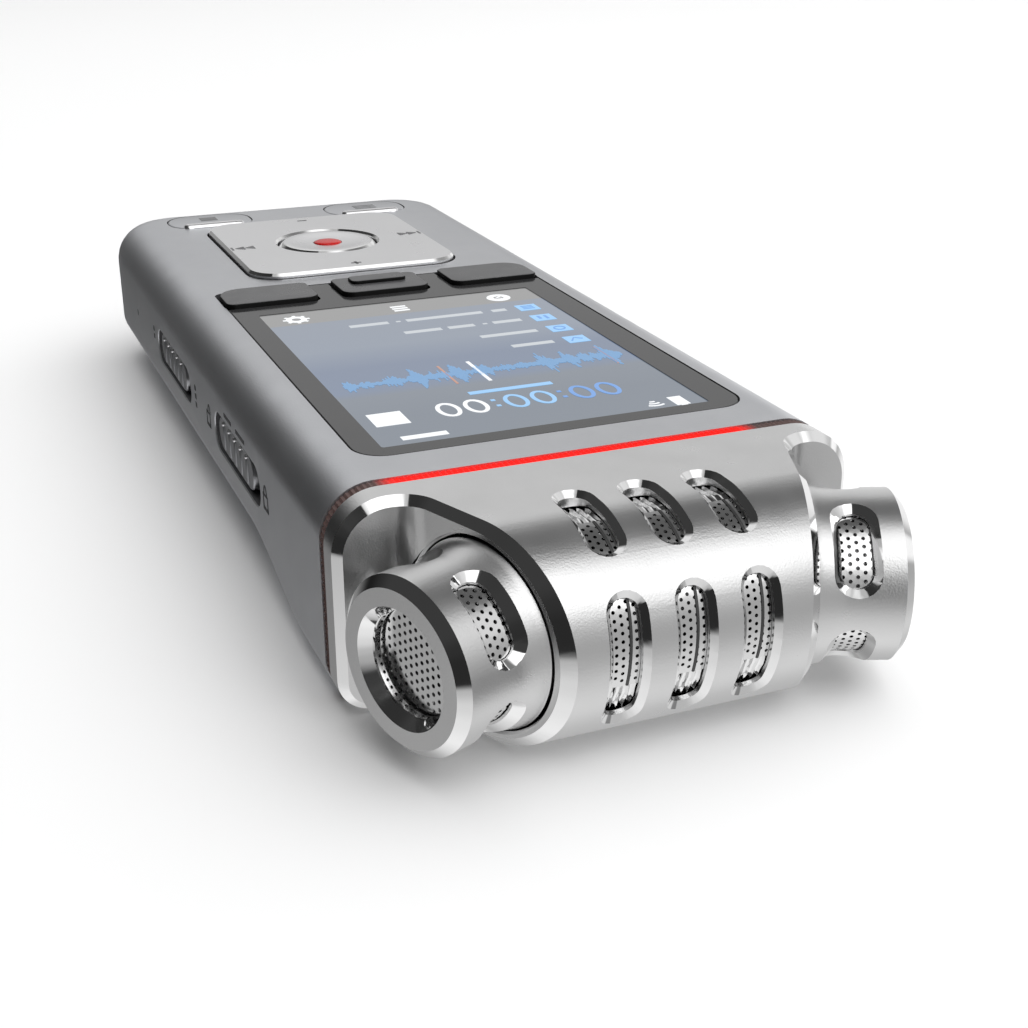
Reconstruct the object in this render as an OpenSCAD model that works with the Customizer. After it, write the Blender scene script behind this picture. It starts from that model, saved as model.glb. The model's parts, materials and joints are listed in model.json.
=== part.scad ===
// Handheld voice recorder: flat pocket body with a colour screen and keys,
// light ring, aluminium microphone head with a slotted barrel and two tilted
// microphone cans.  Units are millimetres.  The recorder lies on its back:
// +Z is the face normal, +Y points to the microphone head, +X is the right
// side of the face, z = 0 is the underside of the head.

/* [Body] */
// width of the body
body_w = 46; // [44:0.5:50]
// length from the far end to the light ring
body_len = 104.4; // [104:0.2:110]
// thickness of the body behind the hump
body_t = 14.5; // [14:0.1:15.2]
// edge radius along the face
face_r = 4.5; // [3.8:0.1:5]
// edge radius along the back
back_r = 2.7; // [2:0.1:3]
// corner radius at the far end
end_r = 8; // [6:0.5:10]
// wall thickness
wall = 1.6; // [1.5:0.05:1.7]

/* [Microphone head] */
// thickness of the head, barrel diameter
head_t = 18.2; // [18.1:0.1:18.6]
// width of the light ring along the body
ring_w = 1.3; // [1:0.1:1.5]
// distance from the ring to the shoulder
shoulder = 4.1; // [4:0.1:4.4]
// distance from the ring to the barrel axis
barrel_y = 10.6; // [10.5:0.1:10.8]
// outward tilt of each can towards the front
can_tilt = 21.4; // [20:0.2:22]
// outer radius of a can
can_r = 7.04; // [6.9:0.02:7.1]
// radius of the opening in the front of a can
can_hole_r = 4.8; // [4.5:0.1:5]
// visible length of a can
can_len = 7.84; // [7.7:0.02:8]
// distance between barrel windows
window_pitch = 5.5; // [5.3:0.1:5.7]
// clear width of a barrel window
window_w = 2.2; // [1.8:0.1:2.6]

/* [Screen] */
// width of the dark window
glass_w = 36.2; // [36:0.1:36.4]
// near edge of the dark window, from the ring
glass_near = 4.5; // [4.3:0.1:4.6]
// far edge of the dark window, from the ring
glass_far = 59; // [58.9:0.1:59.1]
// glass thickness
glass_t = 0.7; // [0.5:0.1:0.7]
// width of the picture on the display
lcd_w = 30.6; // [30:0.1:31]
// height of the picture on the display
lcd_h = 42.2; // [41:0.1:43]

/* [Keys] */
// height of the navigation pad above the face
pad_rise = 0.9; // [0.6:0.1:1.2]
// height of the soft keys above the face
key_rise = 0.7; // [0.4:0.1:0.9]
// radius of the record button
record_r = 6; // [5.7:0.1:6.1]
// radius of the red dot
dot_r = 1.7; // [1.2:0.1:2.2]
// gap around every moving key
key_gap = 0.2; // [0.18:0.01:0.25]
// length of a slide knob
knob_len = 14.6; // [13.6:0.2:15]

/* [Power and sockets] */
// battery width
cell_w = 34; // [30:0.5:34]
// battery length
cell_l = 42; // [36:0.5:42]
// battery thickness
cell_t = 6.2; // [5:0.1:6.2]
// radius of the loudspeaker
speaker_r = 9.6; // [8:0.1:9.7]
// radius of the plug hole of a 3.5 mm socket
jack_r = 1.8; // [1.78:0.01:1.85]
// radius of the 1/4-20 tripod thread
tripod_r = 3.175; // [3.1:0.005:3.2]

/* [Hidden] */
$fn = 64;
far_y = -62.2;
ring_y = far_y + body_len;
top_z = head_t;
back_z = head_t - body_t;
half_w = body_w / 2;
inner_w = body_w - 2 * wall;
inner_z = top_z - wall;
foot_r = 3;
barrel_r = head_t / 2;
open_w = 39.2;
hump_from = -26;
hump_to = -7;
hump_steps = 12;
edge_lead = 0.7;
arc_steps = 8;
fit = 0.15;
eps = 0.05;
// microphone cans
can_x = 21.2;
can_y = 13.9;
seat_r = can_r + 0.56;
bore_in = 5.9;
end_x = can_x - can_len * cos(can_tilt);
end_y = can_y - can_len * sin(can_tilt);
pocket_r = 2.5;
can_slot_w = 2.4;
can_slot_l = 7.2;
can_slot_z = -4.45;
can_slot_turn = 47;
tube_r = 7.3;
tube_t = 0.3;
barrel_in = 7.7;
slot_top_turn = 9.3;
slot_top_l = 7.5;
slot_front_turn = 92.7;
slot_front_l = 10;
// levels inside the body
board_z = 12;
board_t = 1;
board_top = board_z + board_t;
mat_z = 14.2;
mat_t = 0.5;
nub_z = 14.85;
stem_z = 15.35;
lcd_z = 16.2;
tray_z = 14.3;
ledge_z = top_z - glass_t - eps;
// key layout, distances behind the ring
soft_far = 59;
soft_near = 52.4;
soft_xs = [[-18.05, -7.8], [-5, 5], [7.8, 18.05]];
pad_half = 13;
pad_near = 62.4;
pad_far = 91.4;
pad_len = pad_far - pad_near;
pad_mid = -(pad_near + pad_far) / 2;
low_near = 92.4;
low_far = 100;
low_xs = [[-16.2, -5.2], [5.2, 16.2]];
low_mid = -(low_near + low_far) / 2;
pad_top = top_z + pad_rise;
pad_low = top_z - 1;
flange_t = 0.5;
flange_top = inner_z - 0.1;
nav_reach = 10.4;
pivot_z = 16.1;
lug_z = 17.4;
// sliders
slide_ys = [-29.5, -60.5];
slide_l = 19;
slide_h = 4;
slide_z = top_z - 8;
slide_floor = half_w - 1.2;
slide_in = half_w - 2.4;
neck_l = 3;
slide_travel = 2;
slide_rest = -1.3;
slit_l = neck_l + 2 * slide_travel + 0.4;
rib_pitch = 2.4;
// back
cover_t = 1.5;
screw_ps = [[17.2, -67.5], [-17.2, -67.5], [17.2, -89.6], [-17.2, -89.6]];
boss_r = 1.9;
screw_r = 0.8;
tripod_y = -62.5;
speaker_x = 4;
speaker_y = -84.2;
jack_ys = [-75.2, -83.6];
jack_z = 9;
jack_l = 14.2;
jack_mouth = 0.2 - half_w;
usb_x = 8;
card_x = -8;

// ---------------------------------------------------------------- helpers
function hump(y) = let (t = max(0, min(1, (y - hump_from) / (hump_to - hump_from))))
    back_z * (1 - t * t * (3 - 2 * t));
function hump_line(y0, y1, rise) = [for (i = [0 : hump_steps])
    let (y = y0 + (y1 - y0) * i / hump_steps) [y, hump(y) + rise]];

module ring_place() {
    translate([0, ring_y, 0]) children();
}

module rounded(w, l, r) {
    square([w - 2 * r, l], center = true);
    square([w, l - 2 * r], center = true);
    for (sx = [-1, 1], sy = [-1, 1])
        translate([sx * (w / 2 - r), sy * (l / 2 - r)]) circle(r);
}

// rounded plate between x0..x1 and y0..y1
module plate(x0, x1, y0, y1, z, t, r) {
    translate([(x0 + x1) / 2, (y0 + y1) / 2, z])
        linear_extrude(t) rounded(x1 - x0, y1 - y0, r);
}

module block(x0, x1, y0, y1, z0, z1) {
    translate([x0, y0, z0]) cube([x1 - x0, y1 - y0, z1 - z0]);
}

// cross section of the body, drawn in x and z
module section(w, z0, z1, rt, rb) {
    translate([-w / 2 + rt, z0 + rb]) square([w - 2 * rt, z1 - z0 - rb]);
    translate([-w / 2, z0 + rb]) square([w, z1 - z0 - rt - rb]);
    translate([-w / 2 + rb, z0]) square([w - 2 * rb, rb + eps]);
    for (s = [-1, 1]) {
        translate([s * (w / 2 - rt), z1 - rt]) circle(rt);
        translate([s * (w / 2 - rb), z0 + rb]) circle(rb);
    }
}

// push a cross section from y0 to y1
module along(y0, y1) {
    translate([0, y1, 0]) rotate([90, 0, 0]) linear_extrude(y1 - y0) children();
}

// push a side profile from x0 to x1
module across(x0, x1) {
    translate([x0, 0, 0]) rotate([90, 0, 90]) linear_extrude(x1 - x0) children();
}

module side_profile(y0, y1, rise, z1) {
    polygon(concat(hump_line(y0, y1, rise), [[y1, z1], [y0, z1]]));
}

module plan(w, y0, y1, r) {
    translate([-w / 2 + r, y0]) square([w - 2 * r, r + eps]);
    translate([-w / 2, y0 + r]) square([w, y1 - y0 - r]);
    for (s = [-1, 1]) translate([s * (w / 2 - r), y0 + r]) circle(r);
}

module obround(l, w) {
    square([l - w, w], center = true);
    for (s = [-1, 1]) translate([s * (l - w) / 2, 0]) circle(w / 2);
}

// frame of a can: local +Z points out of its front face, local z = 0 there
module can_place(side) {
    translate([side * can_x, ring_y + can_y, barrel_r])
        rotate([0, 0, side > 0 ? can_tilt : 180 - can_tilt])
            rotate([0, 90, 0]) children();
}

module tube(r1, r2, z0, z1) {
    translate([0, 0, z0]) difference() {
        cylinder(r = r1, h = z1 - z0);
        translate([0, 0, -1]) cylinder(r = r2, h = z1 - z0 + 2);
    }
}

module rod(r, z0, z1) {
    translate([0, 0, z0]) cylinder(r = r, h = z1 - z0);
}

// ---------------------------------------------------------------- housing
// radius of the bottom edge, larger under the head
function edge_r(y) = back_r + (foot_r - back_r) * (1 - hump(y) / back_z);

// side outline with rounded far corners and the hump towards the head
module side_outline() {
    polygon(concat(
        [for (i = [0 : arc_steps]) let (a = 90 + 90 * i / arc_steps)
            [-body_len + face_r * (1 + cos(a)), top_z - face_r * (1 - sin(a))]],
        [for (i = [0 : arc_steps]) let (a = 180 + 90 * i / arc_steps)
            [-body_len + back_r * (1 + cos(a)), back_z + back_r * (1 + sin(a))]],
        hump_line(hump_from, hump_to, 0), [[1, 0], [1, top_z]]));
}

// everything inside one facet of the rounded bottom edge
module edge_side(side, turn) {
    ys = concat([-body_len - 1], [for (i = [0 : hump_steps - 1])
        hump_from - edge_lead + (hump_to - hump_from + 2 * edge_lead) * i
        / (hump_steps - 1)], [2]);
    rotate([0, side * (180 - turn), 0]) across(-60, 60)
        polygon(concat([for (y = ys) [y, (half_w - edge_r(y)) * sin(turn)
            - (hump(y) + edge_r(y)) * cos(turn) + edge_r(y)]],
            [[2, -60], [-body_len - 1, -60]]));
}

module housing_outer() {
    intersection() {
        along(-body_len, 0) section(body_w, -1, top_z, face_r, eps);
        translate([0, 0, -2]) linear_extrude(head_t + 4)
            plan(body_w, -body_len, 1, end_r);
        across(-half_w, half_w) side_outline();
        edge_side(1, 22.5);
        edge_side(1, 45);
        edge_side(1, 67.5);
        edge_side(-1, 22.5);
        edge_side(-1, 45);
        edge_side(-1, 67.5);
    }
}

module housing_cavity() {
    intersection() {
        along(-body_len + wall, 1) section(inner_w, 0, inner_z, face_r - wall, 0.5);
        translate([0, 0, -2]) linear_extrude(head_t + 4)
            plan(inner_w, -body_len + wall, 2, end_r - wall);
        across(-half_w, half_w)
            polygon(concat([[-body_len, back_z + cover_t + fit]],
                hump_line(hump_from, hump_to, cover_t + fit),
                [[1.5, cover_t + fit], [1.5, top_z], [-body_len, top_z]]));
    }
    plate(-open_w / 2, open_w / 2, -body_len + 3, -2, -2, back_z + 6, 5);
}

module key_hole(xs, near, far, r) {
    plate(xs[0] - key_gap, xs[1] + key_gap, -far - key_gap, -near + key_gap,
        inner_z - 2, 6, r + key_gap);
}

module upper_housing() {
    color("silver") ring_place() difference() {
        union() {
            difference() {
                housing_outer();
                housing_cavity();
            }
            // screw columns
            for (p = screw_ps) translate([p[0], p[1], 0])
                tube(boss_r, screw_r + 0.05, back_z + cover_t + fit, inner_z + eps);
            // thicker wall behind the slide knobs
            for (y = slide_ys) intersection() {
                housing_outer();
                block(slide_in, half_w, y - slide_l / 2 - 1, y + slide_l / 2 + 1,
                    slide_z - 3, slide_z + 3);
            }
            // bearing lugs of the navigation pad
            for (s = [-1, 1]) translate([-1.5, pad_mid + s * 16 - 0.7, pivot_z - 1])
                cube([3, 1.4, inner_z - pivot_z + 1 + eps]);
        }
        // window recess and display opening
        plate(-glass_w / 2 - eps, glass_w / 2 + eps, -glass_far - eps,
            -glass_near + eps, ledge_z, 3, 2.9);
        plate(-17, 17, -51.6, -5.5, inner_z - 1, 4, 0.6);
        for (xs = soft_xs) key_hole(xs, soft_near, soft_far, 1);
        for (xs = low_xs) key_hole(xs, low_near, low_far, 3.3);
        key_hole([-pad_half, pad_half], pad_near, pad_far, 3.8);
        // bearing holes of the navigation pad
        for (s = [-1, 1]) translate([0, pad_mid + s * 16 + 1, pivot_z])
            rotate([90, 0, 0]) rod(0.65, 0, 2);
        // slide recesses and the slits behind them
        for (y = slide_ys) {
            translate([slide_floor, y, slide_z]) rotate([0, 90, 0])
                linear_extrude(3) rotate(90) obround(slide_l, slide_h);
            block(slide_in - 1, slide_floor + 1, y - slit_l / 2, y + slit_l / 2,
                slide_z - 0.8, slide_z + 0.8);
        }
        // strap eye on the near side
        translate([half_w - wall - 1, -84, slide_z]) rotate([0, 90, 0])
            linear_extrude(4) obround(0.8, 0.5);
        // sockets on the far side and the far end
        for (y = jack_ys) translate([-half_w - 1, y, jack_z]) rotate([0, 90, 0])
            rod(2.6, 0, 4);
        translate([usb_x, -body_len - 1, board_z - 1.5]) rotate([-90, 0, 0])
            linear_extrude(4) rounded(8, 3.1, 0.8);
        block(card_x - 5.9, card_x + 5.9, -body_len - 1, -body_len + wall + 1, 10.5, 11.7);
    }
}

module rear_cover() {
    color("dimgray") ring_place() difference() {
        union() {
            intersection() {
                plate(-open_w / 2 + fit, open_w / 2 - fit, -body_len + 3 + fit, -2 - fit,
                    -2, 20, 5 - fit);
                across(-half_w, half_w)
                    polygon(concat([[-body_len, back_z]], hump_line(hump_from, hump_to, 0),
                        [[1, 0], [1, cover_t]],
                        [for (i = [0 : hump_steps])
                            let (y = hump_to + (hump_from - hump_to) * i / hump_steps)
                            [y, hump(y) + cover_t]],
                        [[-body_len, back_z + cover_t]]));
            }
            // boss around the tripod bush
            translate([0, tripod_y, 0]) rod(6, back_z + 0.5, back_z + 5.4);
            // wall around the loudspeaker
            translate([speaker_x, speaker_y, 0])
                tube(speaker_r + 0.9, speaker_r + 0.1, back_z + 1, back_z + 3.4);
        }
        translate([0, tripod_y, 0]) rod(4.7, back_z - 1, back_z + 8);
        for (p = screw_ps) translate([p[0], p[1], 0]) {
            rod(1.6, back_z - 1, back_z + 0.9);
            rod(1, back_z - 1, back_z + 4);
        }
        // sound holes in rings
        translate([speaker_x, speaker_y, 0]) for (k = [0 : 3], i = [0 : max(0, 6 * k - 1)])
            rotate(k == 0 ? 0 : i * 60 / k) translate([2.1 * k, 0, 0])
                rod(0.6, back_z - 1, back_z + 3);
        // grip grooves across the back
        for (i = [0 : 5]) block(-12, 12, -52 + 2.4 * i, -51.2 + 2.4 * i,
            back_z - 1, back_z + 0.35);
    }
}

module speaker_mesh() {
    color("black") ring_place() translate([speaker_x, speaker_y, 0])
        rod(speaker_r, back_z + cover_t + eps, back_z + cover_t + 0.25);
}

module loudspeaker() {
    color("darkslategray") ring_place() translate([speaker_x, speaker_y, 0]) {
        difference() {
            union() {
                rod(speaker_r, back_z + 1.85, back_z + 4);
                rod(6.2, back_z + 3.9, back_z + 6);
            }
            // cone recess
            rod(speaker_r - 1.2, back_z + 1, back_z + 2.3);
        }
    }
}

module battery() {
    color("steelblue") ring_place() {
        plate(-cell_w / 2, cell_w / 2, -14 - cell_l, -14, 5.5, cell_t, 2.4);
        block(-5, 5, -14 - eps, -12.6, 8.6, 11.4);
    }
}

module battery_pad() {
    color("dimgray") ring_place() difference() {
        plate(-14, 14, -13 - cell_l, -29, back_z + cover_t + eps, 0.2, 1);
        plate(-9, 9, -8 - cell_l, -33, back_z, 4, 1);
    }
}

// ---------------------------------------------------------------- electronics
module main_pcb() {
    color("darkgreen") ring_place() difference() {
        plate(-20.3, 20.3, -body_len + 2.4, -4, board_z, board_t, 3);
        for (p = screw_ps) translate([p[0], p[1], 0])
            rod(boss_r + 0.3, board_z - 1, board_top + 1);
        for (sx = [-1, 1], y = [-8, -97.5]) translate([sx * 18, y, 0])
            rod(0.9, board_z - 1, board_top + 1);
    }
}

module pcb_components() {
    color("black") ring_place() {
        block(-6, 3, -38, -29, board_top, board_top + 0.9);
        block(5.5, 11.5, -34, -28, board_top, board_top + 0.8);
        block(-15, -9, -46, -38, board_top, board_top + 0.9);
        for (i = [0 : 6]) block(-14 + 4 * i, -12.6 + 4 * i, -24, -23.2,
            board_top, board_top + 0.5);
        for (i = [0 : 4]) block(8.5, 9.5, -47 + 2.2 * i, -46 + 2.2 * i,
            board_top, board_top + 0.45);
        block(14, 17.5, -20, -15, board_top, board_top + 0.9);
    }
}

module shield_can() {
    color("lightgray") ring_place() difference() {
        block(-14, -1, -21, -8, board_top, board_top + 1.1);
        block(-13.8, -1.2, -20.8, -8.2, board_top - 1, board_top + 0.9);
    }
}

module usb_socket() {
    color("lightgray") ring_place() translate([usb_x, 0, board_z - 1.5]) {
        translate([0, -body_len + 0.5, 0]) rotate([-90, 0, 0]) difference() {
            linear_extrude(5.4) rounded(7.5, 2.6, 0.6);
            translate([0, 0, -1]) linear_extrude(5.8) rounded(6.9, 2, 0.4);
        }
        block(-1.9, 1.9, -body_len + 1, -body_len + 5.4, -0.35, 0.25);
    }
}

module card_socket() {
    color("lightgray") ring_place() difference() {
        block(card_x - 7, card_x + 7, -body_len + 1.9, -body_len + 16.4, 10.1, 11.95);
        block(card_x - 5.7, card_x + 5.7, -body_len - 1, -body_len + 15.6, 10.6, 11.6);
    }
}

module jack_body(y) {
    ring_place() translate([0, y, jack_z]) difference() {
        union() {
            block(-21.1, jack_mouth + jack_l + 0.8, -3, 3, -2.9, 2.9);
            translate([jack_mouth, 0, 0]) rotate([0, 90, 0]) rod(2.45, 0, 3);
        }
        translate([jack_mouth - 1, 0, 0]) rotate([0, 90, 0]) rod(jack_r, 0, jack_l + 1);
    }
}

module headphone_jack() {
    color("black") jack_body(jack_ys[0]);
}

module microphone_jack() {
    color("black") jack_body(jack_ys[1]);
}

module tripod_bush() {
    color("goldenrod") ring_place() translate([0, tripod_y, 0]) {
        tube(4.6, tripod_r, back_z + 0.05, back_z + 6);
        rod(4.6, back_z + 5.9, back_z + 6.6);
    }
}

module housing_screws() {
    color("dimgray") ring_place() for (p = screw_ps) translate([p[0], p[1], 0])
        difference() {
            union() {
                rod(1.5, back_z + 0.05, back_z + 0.85);
                rod(screw_r, back_z + 0.5, back_z + 7);
            }
            for (a = [0, 90]) rotate(a)
                translate([-0.9, -0.15, back_z - 0.5]) cube([1.8, 0.3, 0.9]);
        }
}

module switch_body(y) {
    color("gray") ring_place() difference() {
        block(17.15, 20, y - slit_l / 2 - 0.9, y + slit_l / 2 + 0.9,
            slide_z - 2.1, board_z - eps);
        block(18.6, 21, y - slit_l / 2, y + slit_l / 2, slide_z - 1.1, slide_z + 1.1);
    }
}

module hold_switch() {
    switch_body(slide_ys[0]);
}

module mode_switch() {
    switch_body(slide_ys[1]);
}

// ribbed knob in the side recess with a neck that reaches the switch
module knob(y) {
    color("gray") ring_place() translate([0, y + slide_rest, slide_z]) {
        translate([slide_floor + 0.1, 0, 0]) rotate([0, 90, 0])
            linear_extrude(0.45) rotate(90) obround(knob_len, slide_h - 0.5);
        for (i = [-2 : 2]) intersection() {
            translate([slide_floor + 0.4, 0, 0]) rotate([0, 90, 0])
                linear_extrude(0.75) rotate(90) obround(knob_len, slide_h - 0.7);
            block(slide_floor, half_w, rib_pitch * i - 0.45, rib_pitch * i + 0.45,
                -slide_h, slide_h);
        }
        block(19, slide_floor + 0.3, -neck_l / 2, neck_l / 2, -0.6, 0.6);
    }
}

module hold_slider() {
    knob(slide_ys[0]);
}

module mode_slider() {
    knob(slide_ys[1]);
}

// ---------------------------------------------------------------- keys
press_ps = [[-12.9, -55.7], [0, -55.7], [12.9, -55.7], [0, pad_mid],
    [-10.7, low_mid], [10.7, low_mid]];
nav_ps = [[nav_reach, 0], [-nav_reach, 0], [0, 12.2], [0, -12.2]];

module tact_at(p) {
    translate([p[0], p[1], 0]) {
        block(-1.6, 1.6, -1.6, 1.6, board_top, board_top + 0.7);
        rod(0.8, board_top + 0.6, board_top + 1.1);
    }
}

module tact_switches() {
    color("silver") ring_place() {
        for (p = press_ps) tact_at(p);
        for (q = nav_ps) tact_at([q[0], pad_mid + q[1]]);
    }
}

module key_mat() {
    color("dimgray") ring_place() difference() {
        union() {
            plate(-19, 19, -low_far - 1, -soft_near + 0.2, mat_z, mat_t, 2);
            for (p = press_ps) translate([p[0], p[1], 0])
                rod(1.5, mat_z + 0.1, nub_z);
            for (q = nav_ps) translate([q[0], pad_mid + q[1], 0])
                rod(1.3, mat_z + 0.1, nub_z - 0.1);
        }
        for (p = screw_ps) translate([p[0], p[1], 0])
            rod(boss_r + 0.3, mat_z - 1, mat_z + 2);
    }
}

// key cap with a flange below the face and a stem
module cap(xs, near, far, r, top) {
    ring_place() {
        plate(xs[0], xs[1], -far, -near, flange_top - eps, top - flange_top + eps, r);
        plate(xs[0] - 0.6, xs[1] + 0.6, -far - 0.6, -near + 0.3,
            flange_top - flange_t, flange_t, r + 0.4);
        translate([(xs[0] + xs[1]) / 2, -(near + far) / 2, 0])
            rod(1.4, stem_z, flange_top - flange_t + eps);
    }
}

module soft_key_left() {
    color("dimgray") cap(soft_xs[0], soft_near, soft_far, 1, top_z + key_rise);
}

module soft_key_middle() {
    color("dimgray") {
        cap(soft_xs[1], soft_near, soft_far, 1, top_z + key_rise);
        ring_place() plate(-3.2, 3.2, -58, -55.5, top_z + key_rise - eps,
            0.3 + eps, 0.5);
    }
}

module soft_key_right() {
    color("dimgray") cap(soft_xs[2], soft_near, soft_far, 1, top_z + key_rise);
}

// low keys: flush pills with a raised lip on the near edge
module low_key(xs) {
    cap(xs, low_near, low_far, 3.3, top_z + 0.1);
    ring_place() plate(xs[0] + 2.4, xs[1] - 2.4, -low_near - 1.2, -low_near - 0.3,
        top_z, 0.45, 0.4);
}

module stop_button() {
    color("silver") low_key(low_xs[1]);
}

module menu_button() {
    color("silver") low_key(low_xs[0]);
}

// gimbal ring: turns about Y in the housing, carries the pad about X
module nav_carrier() {
    color("gray") ring_place() translate([0, pad_mid, 0]) difference() {
        union() {
            tube(9.3, 7, 15.5, pivot_z + 0.4);
            for (s = [-1, 1]) {
                block(-2.2, 2.2, s > 0 ? 8.6 : -14.6, s > 0 ? 14.6 : -8.6,
                    15.5, pivot_z + 0.4);
                translate([0, s > 0 ? 16.6 : -14.4, pivot_z]) rotate([90, 0, 0])
                    rod(0.45, 0, 2.2);
                block(s > 0 ? 7.4 : -8.8, s > 0 ? 8.8 : -7.4, -1.1, 1.1,
                    pivot_z, lug_z + 0.8);
            }
        }
        // bores for the pad pins
        for (s = [-1, 1]) translate([s > 0 ? 7 : -9.5, 0, lug_z]) rotate([0, 90, 0])
            rod(0.65, 0, 2.5);
        // room for the front and back pushers
        for (s = [-1, 1]) translate([0, s * 12.2, 0]) rod(1.15, 14, 18);
    }
}

module nav_pad() {
    color("gainsboro") ring_place() translate([0, pad_mid, 0]) difference() {
        union() {
            plate(-pad_half, pad_half, -pad_len / 2, pad_len / 2, pad_low,
                pad_top - pad_low, 3.8);
            // pushers over the four switches
            for (q = nav_ps) translate([q[0], q[1], 0])
                rod(0.8, stem_z + 0.1, pad_low + eps);
        }
        rod(record_r + key_gap, 10, 22);
        // pockets for the carrier lugs, left open below
        for (s = [-1, 1]) block(s > 0 ? 6.9 : -9.6, s > 0 ? 9.6 : -6.9, -1.6, 1.6,
            10, lug_z + 1.15);
    }
    color("gainsboro") ring_place() translate([0, pad_mid, lug_z])
        for (s = [-1, 1]) translate([s > 0 ? 7.1 : -10.4, 0, 0]) rotate([0, 90, 0])
            rod(0.45, 0, 3.3);
}

module record_button() {
    color("gainsboro") ring_place() translate([0, pad_mid, 0]) difference() {
        union() {
            rotate_extrude() polygon([[0, pad_low], [record_r, pad_low],
                [record_r, pad_top - 0.6], [record_r - 0.6, pad_top],
                [record_r - 1.1, pad_top], [record_r - 1.7, pad_top - 0.25],
                [0, pad_top - 0.25]]);
            rod(1.4, stem_z, pad_low + eps);
        }
        rod(dot_r + 0.03, pad_top - 1, pad_top + 1);
    }
}

module record_dot() {
    color("red") ring_place() translate([0, pad_mid, 0])
        rod(dot_r, pad_top - 0.98, pad_top - 0.1);
}

// ---------------------------------------------------------------- display
module display_window() {
    color("black", 0.4) ring_place() difference() {
        plate(-glass_w / 2, glass_w / 2, -glass_far, -glass_near, ledge_z + eps,
            glass_t, 2.9);
        for (xs = soft_xs) key_hole(xs, soft_near, soft_far + 1, 1);
        // open the outer notches through the side edges
        for (s = [-1, 1]) block(s > 0 ? 16 : -20, s > 0 ? 20 : -16,
            -glass_far - 1, -soft_near + key_gap, 14, 20);
    }
}

module lcd_panel() {
    color("lightsteelblue") ring_place() {
        block(-16.6, 16.6, -51.2, -5.9, lcd_z, lcd_z + 0.6);
        block(-lcd_w / 2 - 0.5, lcd_w / 2 + 0.5, -7.2 - lcd_h, -6.2,
            lcd_z + 0.6 - eps, ledge_z - eps);
    }
}

module lcd_tray() {
    color("lightgray") ring_place() difference() {
        block(-16.95, 16.95, -51.55, -5.55, tray_z, lcd_z + 0.55);
        block(-16.65, 16.65, -51.25, -5.85, tray_z + 0.5, lcd_z + 2);
        // tail of the flat cable
        block(-6.5, 6.5, -52, -51, tray_z + 0.4, lcd_z + 2);
    }
    color("white") ring_place() block(-16.4, 16.4, -51, -6.1,
        tray_z + 0.5, lcd_z - eps);
}

module display_flex() {
    color("darkorange") ring_place() across(-6, 6) polygon([
        [-51.3, 16.15], [-51.3, 16], [-51.85, 16], [-51.85, 14.15], [-49.5, 13.65],
        [-47, 13.65], [-47, 13.5], [-49.6, 13.5], [-52, 14], [-52, 16.15]]);
    color("black") ring_place() block(-6.5, 6.5, -48.6, -46.6, board_top, 13.45);
}

// ---------------------------------------------------------------- light ring
module light_ring() {
    color("red") ring_place() difference() {
        along(eps, ring_w - eps) section(body_w - 0.1, eps, top_z - eps, face_r, foot_r);
        along(-1, ring_w + 1) section(body_w - 3.6, 1.9, top_z - 1.8,
            face_r - 1.6, 1.4);
    }
}

module led_board() {
    color("darkgreen") ring_place() block(-16, 16, -1.75, -1.1, 13.4, 16.3);
}

module ring_leds() {
    color("white") ring_place() for (i = [-2 : 2])
        block(6 * i - 0.8, 6 * i + 0.8, -1.1, -0.3, 14.7, 16.1);
}

// ---------------------------------------------------------------- head
// outline of the nose seen from above: tilted ends with a hollow fillet each
half_at = end_x - (barrel_y - end_y) * tan(can_tilt);
tip_y = barrel_y + barrel_r + 1;
tip_x = half_at - (tip_y - barrel_y) * tan(can_tilt);
arc_y = shoulder + pocket_r;
arc_x = (end_x * cos(can_tilt) + end_y * sin(can_tilt) + pocket_r
    - arc_y * sin(can_tilt)) / cos(can_tilt);

function nose_side(s) = concat([[s * arc_x, shoulder - 1]],
    [for (i = [0 : arc_steps]) let (a = -90 - (90 - can_tilt) * i / arc_steps)
        [s * (arc_x + pocket_r * cos(a)), arc_y + pocket_r * sin(a)]],
    [[s * tip_x, tip_y]]);
function reversed(l) = [for (i = [len(l) - 1 : -1 : 0]) l[i]];

module nose_plan() {
    polygon(concat(nose_side(1), reversed(nose_side(-1))));
}

module barrel_slots(l_top, l_front, w, r0, r1) {
    for (i = [-1 : 1]) translate([i * window_pitch, barrel_y, barrel_r]) {
        rotate([-slot_top_turn, 0, 0]) translate([0, 0, r0])
            linear_extrude(r1 - r0) rotate(90) obround(l_top, w);
        rotate([-slot_front_turn, 0, 0]) translate([0, 0, r0])
            linear_extrude(r1 - r0) rotate(90) obround(l_front, w);
    }
}

module mic_head() {
    color("gainsboro") difference() {
        ring_place() difference() {
            union() {
                along(ring_w, shoulder) section(body_w, 0, top_z, face_r, foot_r);
                intersection() {
                    across(-half_w, half_w) {
                        translate([shoulder - 1, 0])
                            square([barrel_y - shoulder + 1, head_t]);
                        translate([barrel_y, barrel_r]) circle(barrel_r, $fn = 96);
                    }
                    translate([0, 0, -1]) linear_extrude(head_t + 2) nose_plan();
                }
            }
            // bore of the barrel
            translate([-13, barrel_y, barrel_r]) rotate([0, 90, 0])
                rod(barrel_in, 0, 26);
            barrel_slots(slot_top_l, slot_front_l, window_w, 4, 12);
            // passage for the cables
            block(-7, 7, 0, 5.5, 4.5, 13.7);
            // seat of the small cover
            plate(-10 - fit, 10 + fit, 2.4 - fit, 8.6 + fit, -1, 2.1, 1.2);
            for (s = [-1, 1]) translate([s * 8.2, 5.5, 0]) rod(screw_r + 0.05, 0, 1.7);
        }
        for (s = [-1, 1]) can_place(s) rod(seat_r + fit, -can_len - 2.6, -can_len + 3);
    }
}

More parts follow.
